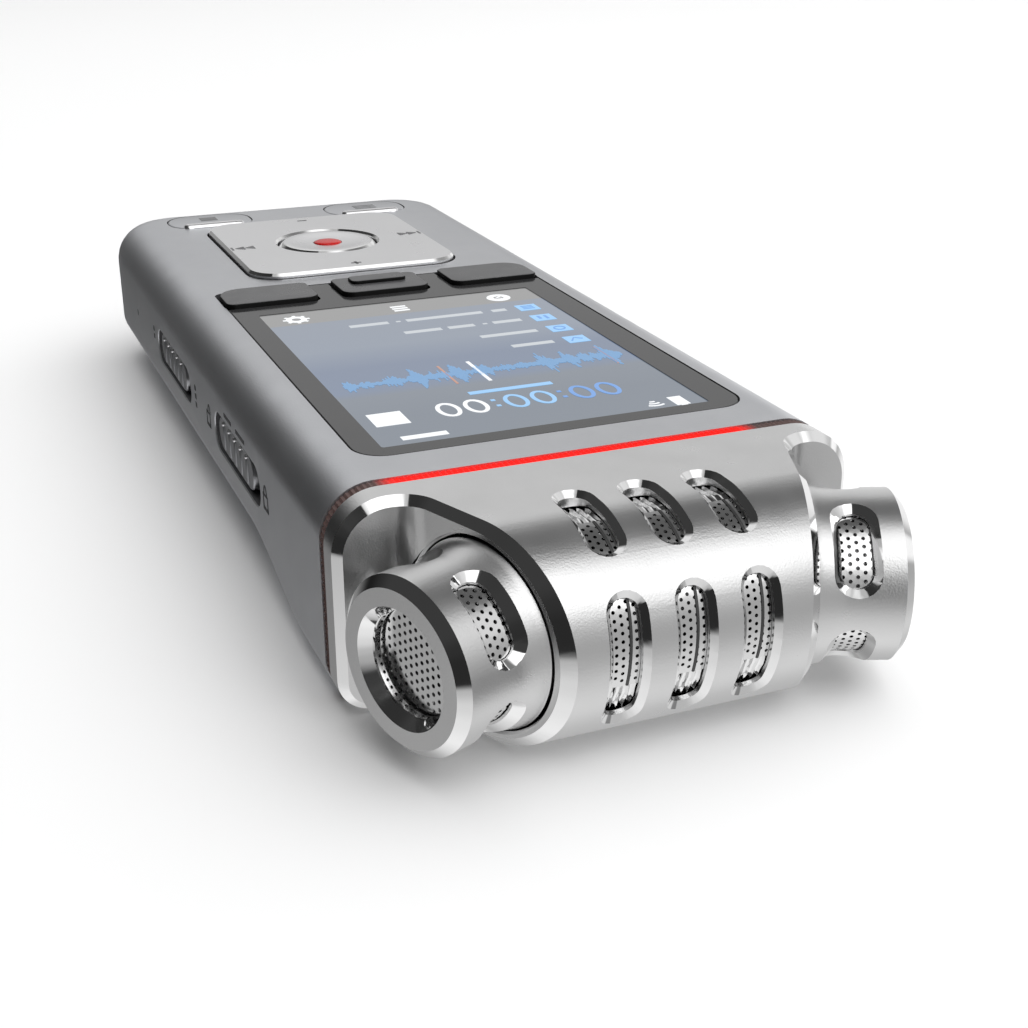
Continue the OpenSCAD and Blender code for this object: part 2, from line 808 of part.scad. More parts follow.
module head_cover() {
    color("dimgray") ring_place() difference() {
        plate(-10, 10, 2.4, 8.6, 0, 1, 1.1);
        for (s = [-1, 1]) translate([s * 8.2, 5.5, 0]) {
            rod(screw_r + 0.1, -1, 2);
            rod(1.35, -1, 0.6);
        }
    }
}

module head_screws() {
    color("dimgray") ring_place() for (s = [-1, 1]) translate([s * 8.2, 5.5, 0])
        difference() {
            union() {
                rod(1.25, 0.05, 0.58);
                rod(screw_r, 0.4, 1.6);
            }
            for (a = [0, 90]) rotate(a)
                translate([-0.8, -0.15, -0.5]) cube([1.6, 0.3, 0.8]);
        }
}

module mic_flex() {
    color("darkorange") ring_place() across(-4, 4) polygon([[-10, 11.95], [-10, 11.8],
        [-4.2, 11.8], [-2.5, 10.6], [3.4, 10.6], [3.4, 10.75], [-2.4, 10.75],
        [-4.1, 11.95]]);
}

// sector of the barrel interior, angles from the top towards the front
module sector(a0, a1, r) {
    polygon(concat([[0, 0]], [for (i = [0 : 12])
        let (a = a0 + (a1 - a0) * i / 12) [r * sin(a), r * cos(a)]]));
}

module centre_mesh() {
    color("silver") ring_place() translate([0, barrel_y, barrel_r])
        intersection() {
            rotate([0, 90, 0]) tube(tube_r, tube_r - tube_t, -8.6, 8.6);
            across(-9, 9) sector(-8, 118, 12);
        }
}

module mesh_cradle() {
    color("gainsboro") ring_place() translate([0, barrel_y, barrel_r]) difference() {
        intersection() {
            rotate([0, 90, 0]) tube(tube_r + 0.1, tube_r - 1.2, -8.6, 8.6);
            across(-9, 9) {
                sector(-48, -9, 12);
                sector(119, 158, 12);
            }
        }
        // ribs
        for (i = [-7 : 7]) rotate([0, 90, 0])
            tube(9, tube_r - 0.35, 1.1 * i - 0.25, 1.1 * i + 0.25);
    }
}

module centre_capsule() {
    color("silver") ring_place() translate([0, barrel_y + 3.6, barrel_r])
        rotate([90, 0, 0]) difference() {
            rod(3, 0, 5);
            rod(0.6, -1, 0.4);
        }
}

module centre_boot() {
    color("black") ring_place() translate([0, barrel_y + 2.9, barrel_r])
        rotate([90, 0, 0]) difference() {
            union() {
                rod(4.1, 0, 5.6);
                rod(2, 5.5, 8.2);
            }
            rod(3.05, -1, 5.05);
        }
}

// ---------------------------------------------------------------- cans
module can(side) {
    can_place(side) difference() {
        rotate_extrude() polygon([[can_hole_r, 0], [can_r - 0.8, 0],
            [can_r, -0.7], [can_r, -can_len + 0.9], [seat_r, -can_len + 0.1],
            [seat_r, -can_len - 2.4], [bore_in, -can_len - 2.4],
            [bore_in, -1.5], [can_hole_r - 0.6, -1.5], [can_hole_r - 0.6, -0.9]]);
        for (k = [0 : 3]) rotate([0, 0, 180 - side * (can_slot_turn + 90 * k)])
            translate([bore_in - 1.5, 0, can_slot_z]) rotate([0, 90, 0])
                linear_extrude(4) rotate(90) obround(can_slot_l, can_slot_w);
    }
}

module sleeve(side) {
    can_place(side) tube(bore_in - 0.1, bore_in - 0.4, -can_len - 1.6, -1.6);
}

module end_mesh(side) {
    can_place(side) rod(bore_in - 0.45, -2.6, -2.3);
}

module capsule(side) {
    can_place(side) difference() {
        rod(4.6, -can_len - 1.2, -3.6);
        rod(3.6, -3.8, -3);
        for (k = [0 : 1]) translate([1.6 * k - 0.8, 1.2, 0])
            rod(0.3, -can_len - 2, -can_len - 0.9);
    }
}

module boot(side) {
    can_place(side) difference() {
        rod(bore_in - 0.45, -can_len - 1.9, -can_len + 2.6);
        rod(4.65, -can_len - 1.25, -2);
        rod(1.8, -can_len - 4, -2);
    }
}

module can_right() {
    color("gainsboro") can(1);
}

module can_left() {
    color("gainsboro") can(-1);
}

module sleeve_right() {
    color("silver") sleeve(1);
}

module sleeve_left() {
    color("silver") sleeve(-1);
}

module end_mesh_right() {
    color("silver") end_mesh(1);
}

module end_mesh_left() {
    color("silver") end_mesh(-1);
}

module capsule_right() {
    color("lightgray") capsule(1);
}

module capsule_left() {
    color("lightgray") capsule(-1);
}

module boot_right() {
    color("black") boot(1);
}

module boot_left() {
    color("black") boot(-1);
}

// ---------------------------------------------------------------- output
upper_housing();
rear_cover();
speaker_mesh();
loudspeaker();
battery();
battery_pad();
main_pcb();
pcb_components();
shield_can();
usb_socket();
card_socket();
headphone_jack();
microphone_jack();
tripod_bush();
housing_screws();
hold_switch();
mode_switch();
hold_slider();
mode_slider();
tact_switches();
key_mat();
soft_key_left();
soft_key_middle();
soft_key_right();
nav_carrier();
nav_pad();
record_button();
record_dot();
stop_button();
menu_button();
display_window();
lcd_panel();
lcd_tray();
display_flex();
light_ring();
led_board();
ring_leds();
mic_head();
head_cover();
head_screws();
mic_flex();
centre_mesh();
mesh_cradle();
centre_capsule();
centre_boot();
can_right();
sleeve_right();
end_mesh_right();
capsule_right();
boot_right();
can_left();
sleeve_left();
end_mesh_left();
capsule_left();
boot_left();
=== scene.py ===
import json
import math
import bmesh
import bpy
from mathutils import Matrix, Vector
from mathutils.geometry import delaunay_2d_cdt


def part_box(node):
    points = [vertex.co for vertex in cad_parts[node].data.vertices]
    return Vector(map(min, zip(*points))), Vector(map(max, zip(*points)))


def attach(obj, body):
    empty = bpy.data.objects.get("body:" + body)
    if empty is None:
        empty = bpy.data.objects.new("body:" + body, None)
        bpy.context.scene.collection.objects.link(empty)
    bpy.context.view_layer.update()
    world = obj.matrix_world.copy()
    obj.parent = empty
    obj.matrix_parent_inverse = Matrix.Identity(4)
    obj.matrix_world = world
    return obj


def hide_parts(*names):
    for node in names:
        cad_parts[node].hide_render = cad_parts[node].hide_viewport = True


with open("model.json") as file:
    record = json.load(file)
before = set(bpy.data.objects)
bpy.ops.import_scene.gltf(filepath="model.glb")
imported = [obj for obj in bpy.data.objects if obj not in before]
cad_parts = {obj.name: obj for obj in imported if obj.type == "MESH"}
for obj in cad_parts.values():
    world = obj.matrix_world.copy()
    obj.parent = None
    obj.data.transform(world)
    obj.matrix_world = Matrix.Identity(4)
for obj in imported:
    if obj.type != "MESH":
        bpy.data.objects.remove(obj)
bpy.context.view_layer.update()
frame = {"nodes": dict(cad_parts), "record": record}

nodes = frame["nodes"]
scene = bpy.context.scene
MM = 0.001
PI = math.pi

# -------------------- frame facts, in mm
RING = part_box("light_ring")[0].y / MM - 0.05      # far edge of the light ring
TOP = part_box("upper_housing")[1].z / MM           # face of the body
HALF = 23.0
BACK = TOP - 14.5                                  # flat back of the body
R_B = TOP / 2                                      # barrel radius
Y_B = 10.6                                         # barrel axis ahead of the ring
TILT = math.radians(21.4)
CAN_R, CAN_L, SEAT_R = 7.04, 7.84, 7.6
CAN_X, CAN_Y = 21.2, 13.9
R_FACE, R_FOOT = 4.5, 3.0                          # edge radii round the face and the underside
SOFT_FAR, SOFT_NEAR = -59.0, -52.4                 # soft keys, far and near edge
LOW_FAR, LOW_NEAR = -100.0, -92.4                  # low keys, far and near edge
KEY_FOOT = 16.45                                   # underside of every key cap

# -------------------- camera
cam_data = bpy.data.cameras.new("camera")
cam_data.sensor_width = 36.0
cam_data.lens = 53.32
cam_data.clip_start = 0.005
cam_data.clip_end = 20
cam = bpy.data.objects.new("camera", cam_data)
scene.collection.objects.link(cam)
cam.location = (0.050155, (105.754 + RING) * MM, (44.470 + TOP) * MM)
cam.rotation_euler = (math.radians(90 - 23.32), 0, math.radians(157.59))
scene.camera = cam
scene.view_settings.view_transform = "Standard"


# -------------------- materials
def add(tree, kind, values=(), wires=(), **attrs):
    """A new shader node: attributes first, then input values, then incoming links."""
    q = tree.nodes.new(kind)
    for key, v in attrs.items():
        setattr(q, key, v)
    for key, v in dict(values).items():
        q.inputs[key].default_value = v
    for key, out in dict(wires).items():
        tree.links.new(out, q.inputs[key])
    return q


def new_material(name):
    m = bpy.data.materials.new(name)
    m.use_nodes = True
    return m, m.node_tree, m.node_tree.nodes["Principled BSDF"].inputs


def shader(name, base, rough, metal=0.0, tone=0.04, tone_scale=60.0, grain=0.02, grain_scale=2500.0, rough_var=0.05,
           coat=0.0, emit=None, emit_power=0.0, edge_lighten=0.0, stretch=(1, 1, 1), spec=0.5):
    """Varied tone and roughness, a fine grain, and a lighter colour on sharp convex edges where edge_lighten is set.
    """
    m, nt, b = new_material(name)
    for key, v in (("Metallic", metal), ("Coat Weight", coat), ("Coat Roughness", 0.1), ("Specular IOR Level", spec)):
        b[key].default_value = v
    tc = add(nt, "ShaderNodeTexCoord")
    mp = add(nt, "ShaderNodeMapping", {"Scale": stretch}, {"Vector": tc.outputs["Object"]})

    def noise(scale, detail):
        values = {"Scale": scale, "Detail": detail}
        return add(nt, "ShaderNodeTexNoise", values, {"Vector": mp.outputs["Vector"]}).outputs["Fac"]

    def span(src, lo, hi):
        ends = {"From Min": 0.3, "From Max": 0.7, "To Min": lo, "To Max": hi}
        return add(nt, "ShaderNodeMapRange", ends, {"Value": src}).outputs["Result"]

    def ink(factor):
        return tuple(min(1.0, c * factor) for c in base) + (1,)

    colour = add(nt, "ShaderNodeMix", {"A": ink(1 - tone), "B": ink(1 + tone)},
                 {"Factor": span(noise(tone_scale, 3), 0, 1)}, data_type="RGBA").outputs["Result"]
    # lighter colour on sharp convex edges, found from pointiness
    if edge_lighten > 0:
        g = add(nt, "ShaderNodeNewGeometry")
        r = add(nt, "ShaderNodeMapRange", {"From Min": 0.53, "From Max": 0.62, "To Max": edge_lighten},
                {"Value": g.outputs["Pointiness"]})
        colour = add(nt, "ShaderNodeMix", {"B": ink(1.6)}, {"Factor": r.outputs["Result"], "A": colour},
                     data_type="RGBA").outputs["Result"]
    nt.links.new(colour, b["Base Color"])
    nt.links.new(span(noise(300.0, 4), max(0.01, rough - rough_var), min(1, rough + rough_var)), b["Roughness"])
    if grain > 0:
        bump = add(nt, "ShaderNodeBump", {"Strength": grain * 10, "Distance": 0.00004},
                   {"Height": noise(grain_scale, 5)})
        nt.links.new(bump.outputs["Normal"], b["Normal"])
    if emit:
        b["Emission Color"].default_value = tuple(emit) + (1,)
        b["Emission Strength"].default_value = emit_power
    return m


M = {}
M["body"] = shader("body_paint", (0.62, 0.63, 0.655), 0.34, 0.9, tone=0.03, grain=0.03, grain_scale=5200,
    rough_var=0.03, edge_lighten=0.12)
M["alu"] = shader("head_satin", (0.78, 0.78, 0.78), 0.30, 1.0, tone=0.02, grain=0.035, grain_scale=6500,
    rough_var=0.03)
M["polish"] = shader("cut_bright", (0.90, 0.90, 0.90), 0.06, 1.0, tone=0.01, grain=0.0, rough_var=0.02)
M["bore"] = shader("inner_bore", (0.10, 0.10, 0.10), 0.45, 0.8, tone=0.1)
M["mesh"] = shader("mesh_steel", (0.83, 0.83, 0.83), 0.13, 1.0, tone=0.04, grain=0.02, grain_scale=900,
    rough_var=0.04)
M["dark"] = shader("key_plastic", (0.075, 0.075, 0.078), 0.30, 0.0, tone=0.08, grain=0.03, grain_scale=4200,
    rough_var=0.05, edge_lighten=0.2)
M["glass"] = shader("window_print", (0.030, 0.030, 0.031), 0.12, 0.0, tone=0.05, grain=0.0, rough_var=0.03)
M["silver"] = shader("key_silver", (0.93, 0.93, 0.94), 0.30, 1.0, tone=0.02, grain=0.03, grain_scale=5600,
    rough_var=0.03)
# near-black copy of the key plastic for the sides of the key caps: painted shade, the tops keep key_plastic
M["side"] = shader("key_side_painted_shade", (0.004, 0.004, 0.004), 0.45, 0.0, tone=0.1, grain=0.02, grain_scale=3200, spec=0.08)
M["ink"] = shader("print_ink", (0.05, 0.05, 0.055), 0.5, 0.0, tone=0.1, grain=0.02)
M["ink_light"] = shader("print_light", (0.17, 0.17, 0.175), 0.5, 0.1, tone=0.05)
M["dot"] = shader("dot_red", (0.50, 0.006, 0.006), 0.16, 0.0, tone=0.1, grain=0.02, grain_scale=1500, spec=0.4)
M["knob"] = shader("knob_paint", (0.36, 0.365, 0.38), 0.32, 0.9, tone=0.05, grain=0.03, grain_scale=5200, edge_lighten=0.5)
M["recess"] = shader("recess_shade", (0.10, 0.10, 0.105), 0.5, 0.2, tone=0.08)

cad_looks = {
    "back_grey": dict(base=(0.055, 0.055, 0.058), rough=0.55, grain=0.06, grain_scale=3000, tone=0.1, edge_lighten=0.2),
    "board_green": dict(base=(0.01, 0.10, 0.035), rough=0.4, coat=0.4, tone=0.2, tone_scale=700),
    "chip_black": dict(base=(0.02, 0.02, 0.02), rough=0.5, tone=0.2),
    "flex_amber": dict(base=(0.40, 0.18, 0.03), rough=0.35, coat=0.3, tone=0.1),
    "socket_steel": dict(base=(0.62, 0.62, 0.62), rough=0.28, metal=1.0, tone=0.05),
    "tray_steel": dict(base=(0.60, 0.60, 0.61), rough=0.33, metal=1.0, tone=0.05, stretch=(1, 12, 1)),
    "socket_black": dict(base=(0.02, 0.02, 0.02), rough=0.45, tone=0.15),
    "screw_steel": dict(base=(0.16, 0.16, 0.165), rough=0.35, metal=1.0, tone=0.1, edge_lighten=0.6),
    "bush_brass": dict(base=(0.72, 0.52, 0.20), rough=0.28, metal=1.0, tone=0.06),
    "cell_wrap": dict(base=(0.05, 0.12, 0.28), rough=0.3, coat=0.4, tone=0.1),
    "foam_black": dict(base=(0.02, 0.02, 0.02), rough=0.85, grain=0.09, grain_scale=1500, tone=0.3),
    "mat_rubber": dict(base=(0.08, 0.08, 0.08), rough=0.75, tone=0.15),
    "carrier_grey": dict(base=(0.25, 0.25, 0.25), rough=0.5, tone=0.1),
    "cloth_black": dict(base=(0.015, 0.015, 0.015), rough=0.9, grain=0.09, grain_scale=4000, tone=0.3),
    "lcd_face": dict(base=(0.10, 0.14, 0.22), rough=0.2, coat=0.5, tone=0.05),
    "led_white": dict(base=(0.85, 0.85, 0.8), rough=0.3, tone=0.03),
    "mesh_steel": dict(base=(0.85, 0.85, 0.85), rough=0.10, metal=1.0, tone=0.05, grain=0.02, grain_scale=900),
}
slot_of = {s["node"]: s["material_slot"] for s in frame["record"]["subparts"]}
made = {}
for name, o in nodes.items():
    look = cad_looks.get(slot_of.get(name))
    if look:
        key = slot_of[name]
        if key not in made:
            made[key] = shader("cad_" + key, **look)
        o.data.materials.clear()
        o.data.materials.append(made[key])


# -------------------- mesh helpers (mm, y measured from the ring)
def put(name, verts, faces, mats, index=None, body="case", replace=(), angle=32, matrix=None):
    me = bpy.data.meshes.new(name)
    pts = [Vector(v) for v in verts]
    if matrix is not None:
        pts = [matrix @ p for p in pts]
    me.from_pydata([(p.x * MM, (p.y + RING) * MM, p.z * MM) for p in pts], [], faces)
    for m in mats:
        me.materials.append(M[m])
    if index:
        me.polygons.foreach_set("material_index", index)
    me.validate()
    bm = bmesh.new()
    bm.from_mesh(me)
    bmesh.ops.remove_doubles(bm, verts=bm.verts, dist=1e-7)
    bmesh.ops.recalc_face_normals(bm, faces=bm.faces)
    bm.to_mesh(me)
    bm.free()
    o = bpy.data.objects.new(name, me)
    scene.collection.objects.link(o)
    if body:
        finish(o, angle, body, replace)
    return o


def finish(o, angle=32, body="case", replace=()):
    me = o.data
    me.polygons.foreach_set("use_smooth", [True] * len(me.polygons))
    me.set_sharp_from_angle(angle=math.radians(angle))
    me.update()
    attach(o, body)
    if replace:
        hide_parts(*replace)
    return o


def loft(rings, mats=None, cap0=True, cap1=True, cap_mats=(0, 0)):
    """Quads between rings of equal length; mats gives the material of each band."""
    n = len(rings[0])
    verts = [p for r in rings for p in r]
    faces, index = [], []
    for k in range(len(rings) - 1):
        for i in range(n):
            j = (i + 1) % n
            faces.append((k * n + i, k * n + j, (k + 1) * n + j, (k + 1) * n + i))
            index.append(mats[k] if mats else 0)
    if cap0:
        faces.append(tuple(reversed(range(n))))
        index.append(cap_mats[0])
    if cap1:
        base = (len(rings) - 1) * n
        faces.append(tuple(base + i for i in range(n)))
        index.append(cap_mats[1])
    return verts, faces, index


def rrect(x0, x1, y0, y1, r, n=8):
    """Rounded rectangle, counter-clockwise from the lower right; r is one radius or four (x1y0, x1y1, x0y1, x0y0)."""
    rs = r if isinstance(r, (tuple, list)) else (r, r, r, r)
    out = []
    for (cx, cy, sx, sy, a0), q in zip(((x1, y0, -1, 1, -90), (x1, y1, -1, -1, 0), (x0, y1, 1, -1, 90),
            (x0, y0, 1, 1, 180)), rs):
        q = max(q, 0.02)
        for i in range(n + 1):
            a = math.radians(a0 + 90 * i / n)
            out.append((cx + sx * q + q * math.cos(a), cy + sy * q + q * math.sin(a)))
    return out


def puck(name, box, r, levels, mats, cap=0, body="case", replace=(), n=8, keep=False, angle=32):
    """Lofted plate. levels: (z, inset, material of the band above)."""
    x0, x1, y0, y1 = box
    rings = []
    for z, i, m in levels:
        q = tuple(max(v - i, 0.03) for v in r) if isinstance(r, tuple) else max(r - i, 0.03)
        rings.append([(x, y, z) for x, y in rrect(x0 + i, x1 - i, y0 + i, y1 - i, q, n)])
    v, f, idx = loft(rings, [m for _, _, m in levels[:-1]], cap_mats=(0, cap))
    return put(name, v, f, mats, idx, None if keep else body, replace, angle)


def obround(l, w, step=0.5, n=10):
    """Obround outline along s, width along t, with points along its straight sides."""
    r, h = w / 2, (l - w) / 2
    k = max(1, int(2 * h / step))
    out = [(-h + 2 * h * i / k, -r) for i in range(k)]
    out += [(h + r * math.cos(math.radians(a)), r * math.sin(math.radians(a)))
            for a in [-90 + 180 * i / n for i in range(n)]]
    out += [(h - 2 * h * i / k, r) for i in range(k)]
    out += [(-h + r * math.cos(math.radians(a)), r * math.sin(math.radians(a)))
            for a in [90 + 180 * i / n for i in range(n)]]
    return out[-(n // 2):] + out[:-(n // 2)]


def lathe(profile, seg_mats, n=96):
    """Closed profile of (r, z) turned about z; r = 0 points are merged later."""
    verts, faces, index = [], [], []
    k = len(profile)
    for i in range(n):
        a = 2 * PI * i / n
        verts += [(r * math.cos(a), r * math.sin(a), z) for r, z in profile]
    for i in range(n):
        j = (i + 1) % n
        for p in range(k):
            q = (p + 1) % k
            r1, r2 = profile[p][0], profile[q][0]
            if r1 < 1e-6 and r2 < 1e-6:
                continue
            a, b, c, d = i * k + p, j * k + p, j * k + q, i * k + q
            faces.append((a, b, c) if r2 < 1e-6 else ((a, c, d) if r1 < 1e-6 else (a, b, c, d)))
            index.append(seg_mats[p])
    return verts, faces, index


def bare(name, data, mats, matrix=None):
    v, f, idx = data
    return put(name, v, f, mats, idx, None, matrix=matrix)


def ladder(outlines, mats, cap_mat0, cap_mat1):
    """Loft of curved obround outlines whose ends are closed by strips across their width."""
    n = len(outlines[0])
    v, f, idx = loft(outlines, mats, False, False)
    for base, m, flip in ((0, cap_mat0, True), ((len(outlines) - 1) * n, cap_mat1, False)):
        for i in range(n // 2):
            q = [base + i, base + i + 1, base + (n - i - 1) % n, base + (n - i) % n]
            q = list(dict.fromkeys(q))
            f.append(tuple(reversed(q)) if flip else tuple(q))
            idx.append(m)
    return v, f, idx


def bake(o):
    """Replaces o's mesh by the result of its modifiers."""
    dg = bpy.context.evaluated_depsgraph_get()
    me = bpy.data.meshes.new_from_object(o.evaluated_get(dg), preserve_all_data_layers=True, depsgraph=dg)
    o.modifiers.clear()
    o.data = me


def extend(v, f, rows):
    """Adds a loft through rows to the lists v and f and returns its number of faces."""
    vv, ff, _ = loft(rows)
    f += [tuple(i + len(v) for i in q) for q in ff]
    v += vv
    return len(ff)


def combine(o, *cutters):
    """Cuts every cutter out of o in one exact operation."""
    col = bpy.data.collections.new("cutters")
    scene.collection.children.link(col)
    for c in cutters:
        scene.collection.objects.unlink(c)
        col.objects.link(c)
    mod = o.modifiers.new("cut", "BOOLEAN")
    mod.operation = "DIFFERENCE"
    mod.solver = "EXACT"
    mod.operand_type = "COLLECTION"
    mod.collection = col
    mod.material_mode = "INDEX"
    bake(o)
    for c in cutters:
        bpy.data.objects.remove(c)
    bpy.data.collections.remove(col)
    return o


def prism(name, outline, z0, z1, mats, m=0, matrix=None):
    rings = [[(x, y, z) for x, y in outline] for z in (z0, z1)]
    v, f, idx = loft(rings, [m], cap_mats=(m, m))
    return bare(name, (v, f, idx), mats, matrix)


def hump(y):
    t = max(0.0, min(1.0, (y + 26) / 19))
    return BACK * (1 - t * t * (3 - 2 * t))


# -------------------- body shell
def body_rings():
    """Rings in plan from the underside to the face; each point's height follows the hump."""
    side_y = [0, -2, -4.5] + [-7 - 19 * i / 14 for i in range(15)] + [-34, -44, -56, -68, -80, -90]

    def outline(inset_of):
        right, arc = [], []
        for y in side_y:
            right.append((HALF - inset_of(y), y))
        for i in range(13):
            a = math.radians(-90 * i / 12)
            q = 8 - inset_of(-100)                # corner radius 8 less the edge's inset
            arc.append((15 + q * math.cos(a), -96.4 + q * math.sin(a)))
        r = right + arc
        return r + [(-x, y) for x, y in reversed(r)]

    rings = []
    for i in range(9):
        a = math.radians(90 * i / 8)

        def rad(y):
            return 2.7 + 0.3 * (1 - hump(y) / BACK)
        o = outline(lambda y: rad(y) * (1 - math.sin(a)))
        rings.append([(x, y, hump(y) + rad(y) * (1 - math.cos(a))) for x, y in o])
    for i in range(11):
        a = math.radians(90 * i / 10)
        o = outline(lambda y: R_FACE * (1 - math.cos(a)))
        rings.append([(x, y, TOP - R_FACE * (1 - math.sin(a))) for x, y in o])
    return rings


rings = body_rings()
n_ring = len(rings[0])
verts = [p for r in rings for p in r]
faces = []
for k in range(len(rings) - 1):
    for i in range(n_ring - 1):
        faces.append((k * n_ring + i, k * n_ring + i + 1, (k + 1) * n_ring + i + 1, (k + 1) * n_ring + i))
half_n = n_ring // 2
for base in (0, (len(rings) - 1) * n_ring):
    for i in range(half_n - 1):
        faces.append((base + i, base + i + 1, base + n_ring - 2 - i, base + n_ring - 1 - i))
faces.append(tuple([k * n_ring for k in range(len(rings))]
                   + [k * n_ring + n_ring - 1 for k in reversed(range(len(rings)))]))
BODYM = ["body", "recess", "polish"]
shell = put("housing_shell", verts, faces, BODYM, None, None)

# hollow inside
ys = [1.5, -2, -7] + [-7 - 19 * i / 8 for i in range(1, 9)] + [-60, -98.6, -101.2]
sec = []
for y in ys:
    z0 = hump(y) + 1.65
    k = 1.0 if y > -100 else 0.85
    half = [(21.4 * k, y, z0), (21.4 * k, y, 14.4), (21.0 * k, y, 15.7), (19.9 * k, y, 16.6)]
    sec.append(half + [(-x, y_, z) for x, y_, z in reversed(half)])
v, f, idx = loft(sec, [1] * (len(sec) - 1), cap_mats=(1, 1))
cuts = [bare("cav", (v, f, idx), BODYM), prism("open", rrect(-19.6, 19.6, -101.4, -2, 5), -3, BACK + 6, BODYM, 1)]


def hole(box, r, z0=15):
    """Cuts a rounded opening through the face down to z0."""
    cuts.append(prism("hole", rrect(*box, r), z0, TOP + 2, BODYM, 1))


hole((-18.15, 18.15, -59.05, -4.45), 2.9, TOP - 0.75)
hole((-17, 17, -51.6, -5.5), 0.6)
SOFT = [(-18.05, -7.8), (-5.0, 5.0), (7.8, 18.05)]
for x0, x1 in SOFT:
    hole((x0 - 0.2, x1 + 0.2, -59.2, -52.2), 1.2)
LOW = [(-16.2, -5.2), (5.2, 16.2)]
for x0, x1 in LOW:
    hole((x0 - 0.07, x1 + 0.07, -100.07, -92.33), 3.37)
hole((-12.85, 12.85, -91.35, -62.45), 3.9)


def side_matrix(y, z, sign=1):
    """Local x runs along Y, local y along Z, local z out of the side wall."""
    return Matrix(((0, 0, sign, 0), (1, 0, 0, y), (0, 1, 0, z), (0, 0, 0, 1)))


SLOT_Z = TOP - 8
SLOT_Y = (-29.5, -60.5)
for y in SLOT_Y:
    mt = side_matrix(y, SLOT_Z)
    o0, o1 = obround(19, 4, 2), obround(19.2, 4.2, 2)
    rg = [[(a, b, 21.8) for a, b in o0], [(a, b, 22.9) for a, b in o0], [(a, b, 23.0) for a, b in o1],
        [(a, b, 24) for a, b in o1]]
    v, f, idx = loft(rg, [1, 0, 0], cap_mats=(1, 1))
    cuts.append(bare("slot", (v, f, idx), BODYM, mt))
    cuts.append(prism("slit", rrect(-3.7, 3.7, -0.8, 0.8, 0.2), 19, 22.5, BODYM, 1, mt))
cuts.append(prism("pin", obround(0.8, 0.5, 1, 6), 21, 24, BODYM, 1,
    side_matrix(-84, SLOT_Z) @ Matrix.Rotation(PI / 2, 4, "Z")))
for y in (-75.2, -83.6):
    mt = side_matrix(y, 9, -1)
    ci = [(2.6 * math.cos(2 * PI * i / 32), 2.6 * math.sin(2 * PI * i / 32)) for i in range(32)]
    cuts.append(prism("jack", ci, 20.5, 24, BODYM, 1, mt))
end_m = Matrix(((1, 0, 0, 0), (0, 0, -1, 0), (0, 1, 0, 0), (0, 0, 0, 1)))
cuts.append(prism("usb", rrect(4, 12, 8.95, 12.05, 0.8), 100, 106, BODYM, 1, end_m))
cuts.append(prism("card", rrect(-13.9, -2.1, 10.5, 11.7, 0.1), 100, 106, BODYM, 1, end_m))
combine(shell, *cuts)
finish(shell, 28, "case", ["upper_housing"])

# -------------------- window and picture
window = puck("display_window_plate", (-18.05, 18.05, -58.95, -4.55), 2.85,
    [(TOP - 0.7, 0, 0), (TOP - 0.12, 0, 0), (TOP - 0.02, 0.1, 0)], ["glass"], keep=True)
LCD = (-15.0, 15.6, -48.9, -6.5)
cuts = [prism("pic", rrect(*LCD, 0.25, 3), TOP - 3, TOP + 2, ["glass"])]
for k, (x0, x1) in enumerate(SOFT):
    cuts.append(prism("key", rrect(x0 - (0.2 if k != 0 else 2), x1 + (0.2 if k != 2 else 2), -62, -52.2, 1.2, 5),
        TOP - 3, TOP + 2, ["glass"]))
combine(window, *cuts)
finish(window, 30, "case", ["display_window"])

# picture: a shallow plate whose colour runs from blue-grey to a grey key bar
pic, nt, b = new_material("screen_picture")
where = add(nt, "ShaderNodeTexCoord").outputs["Object"]
split = add(nt, "ShaderNodeSeparateXYZ", wires={"Vector": where})
along = add(nt, "ShaderNodeMapRange", {"From Min": (RING + LCD[2]) * MM, "From Max": (RING + LCD[3]) * MM},
            {"Value": split.outputs["Y"]})
ramp = add(nt, "ShaderNodeValToRGB", wires={"Fac": along.outputs["Result"]})
elements = ramp.color_ramp.elements
elements[0].color = (0.235, 0.235, 0.235, 1)
elements[1].color = (0.14, 0.17, 0.215, 1)
for pos, col in ((0.108, (0.235, 0.235, 0.235, 1)), (0.112, (0.20, 0.235, 0.30, 1)), (0.35, (0.20, 0.24, 0.31, 1)),
                 (0.50, (0.13, 0.175, 0.27, 1)), (0.66, (0.13, 0.18, 0.28, 1)), (0.70, (0.15, 0.18, 0.225, 1)),
                 (0.84, (0.135, 0.165, 0.21, 1))):
    elements.new(pos).color = col
pixels = add(nt, "ShaderNodeTexNoise", {"Scale": 9000}, {"Vector": where})
shown = add(nt, "ShaderNodeMix", {"Factor": 0.06}, {"A": ramp.outputs["Color"], "B": pixels.outputs["Color"]},
            data_type="RGBA", blend_type="MULTIPLY")
nt.links.new(shown.outputs["Result"], b["Emission Color"])
for key, v in (("Emission Strength", 1.0), ("Base Color", (0.02, 0.02, 0.02, 1)), ("Roughness", 0.16),
               ("Coat Weight", 0.4), ("Coat Roughness", 0.05)):
    b[key].default_value = v
M["picture"] = pic


def glow(name, colour, power=1.0):
    M[name] = shader("lit_" + name, (0.02, 0.02, 0.02), 0.25, tone=0.02, grain=0.0, emit=colour, emit_power=power)


glow("white", (0.92, 0.94, 0.96), 1.0)
glow("soft_white", (0.62, 0.66, 0.70), 0.85)
glow("sky", (0.30, 0.58, 0.92), 0.95)
glow("blue", (0.16, 0.36, 0.78), 0.9)
glow("wave", (0.17, 0.36, 0.63), 0.9)
glow("orange", (0.62, 0.33, 0.24), 0.8)

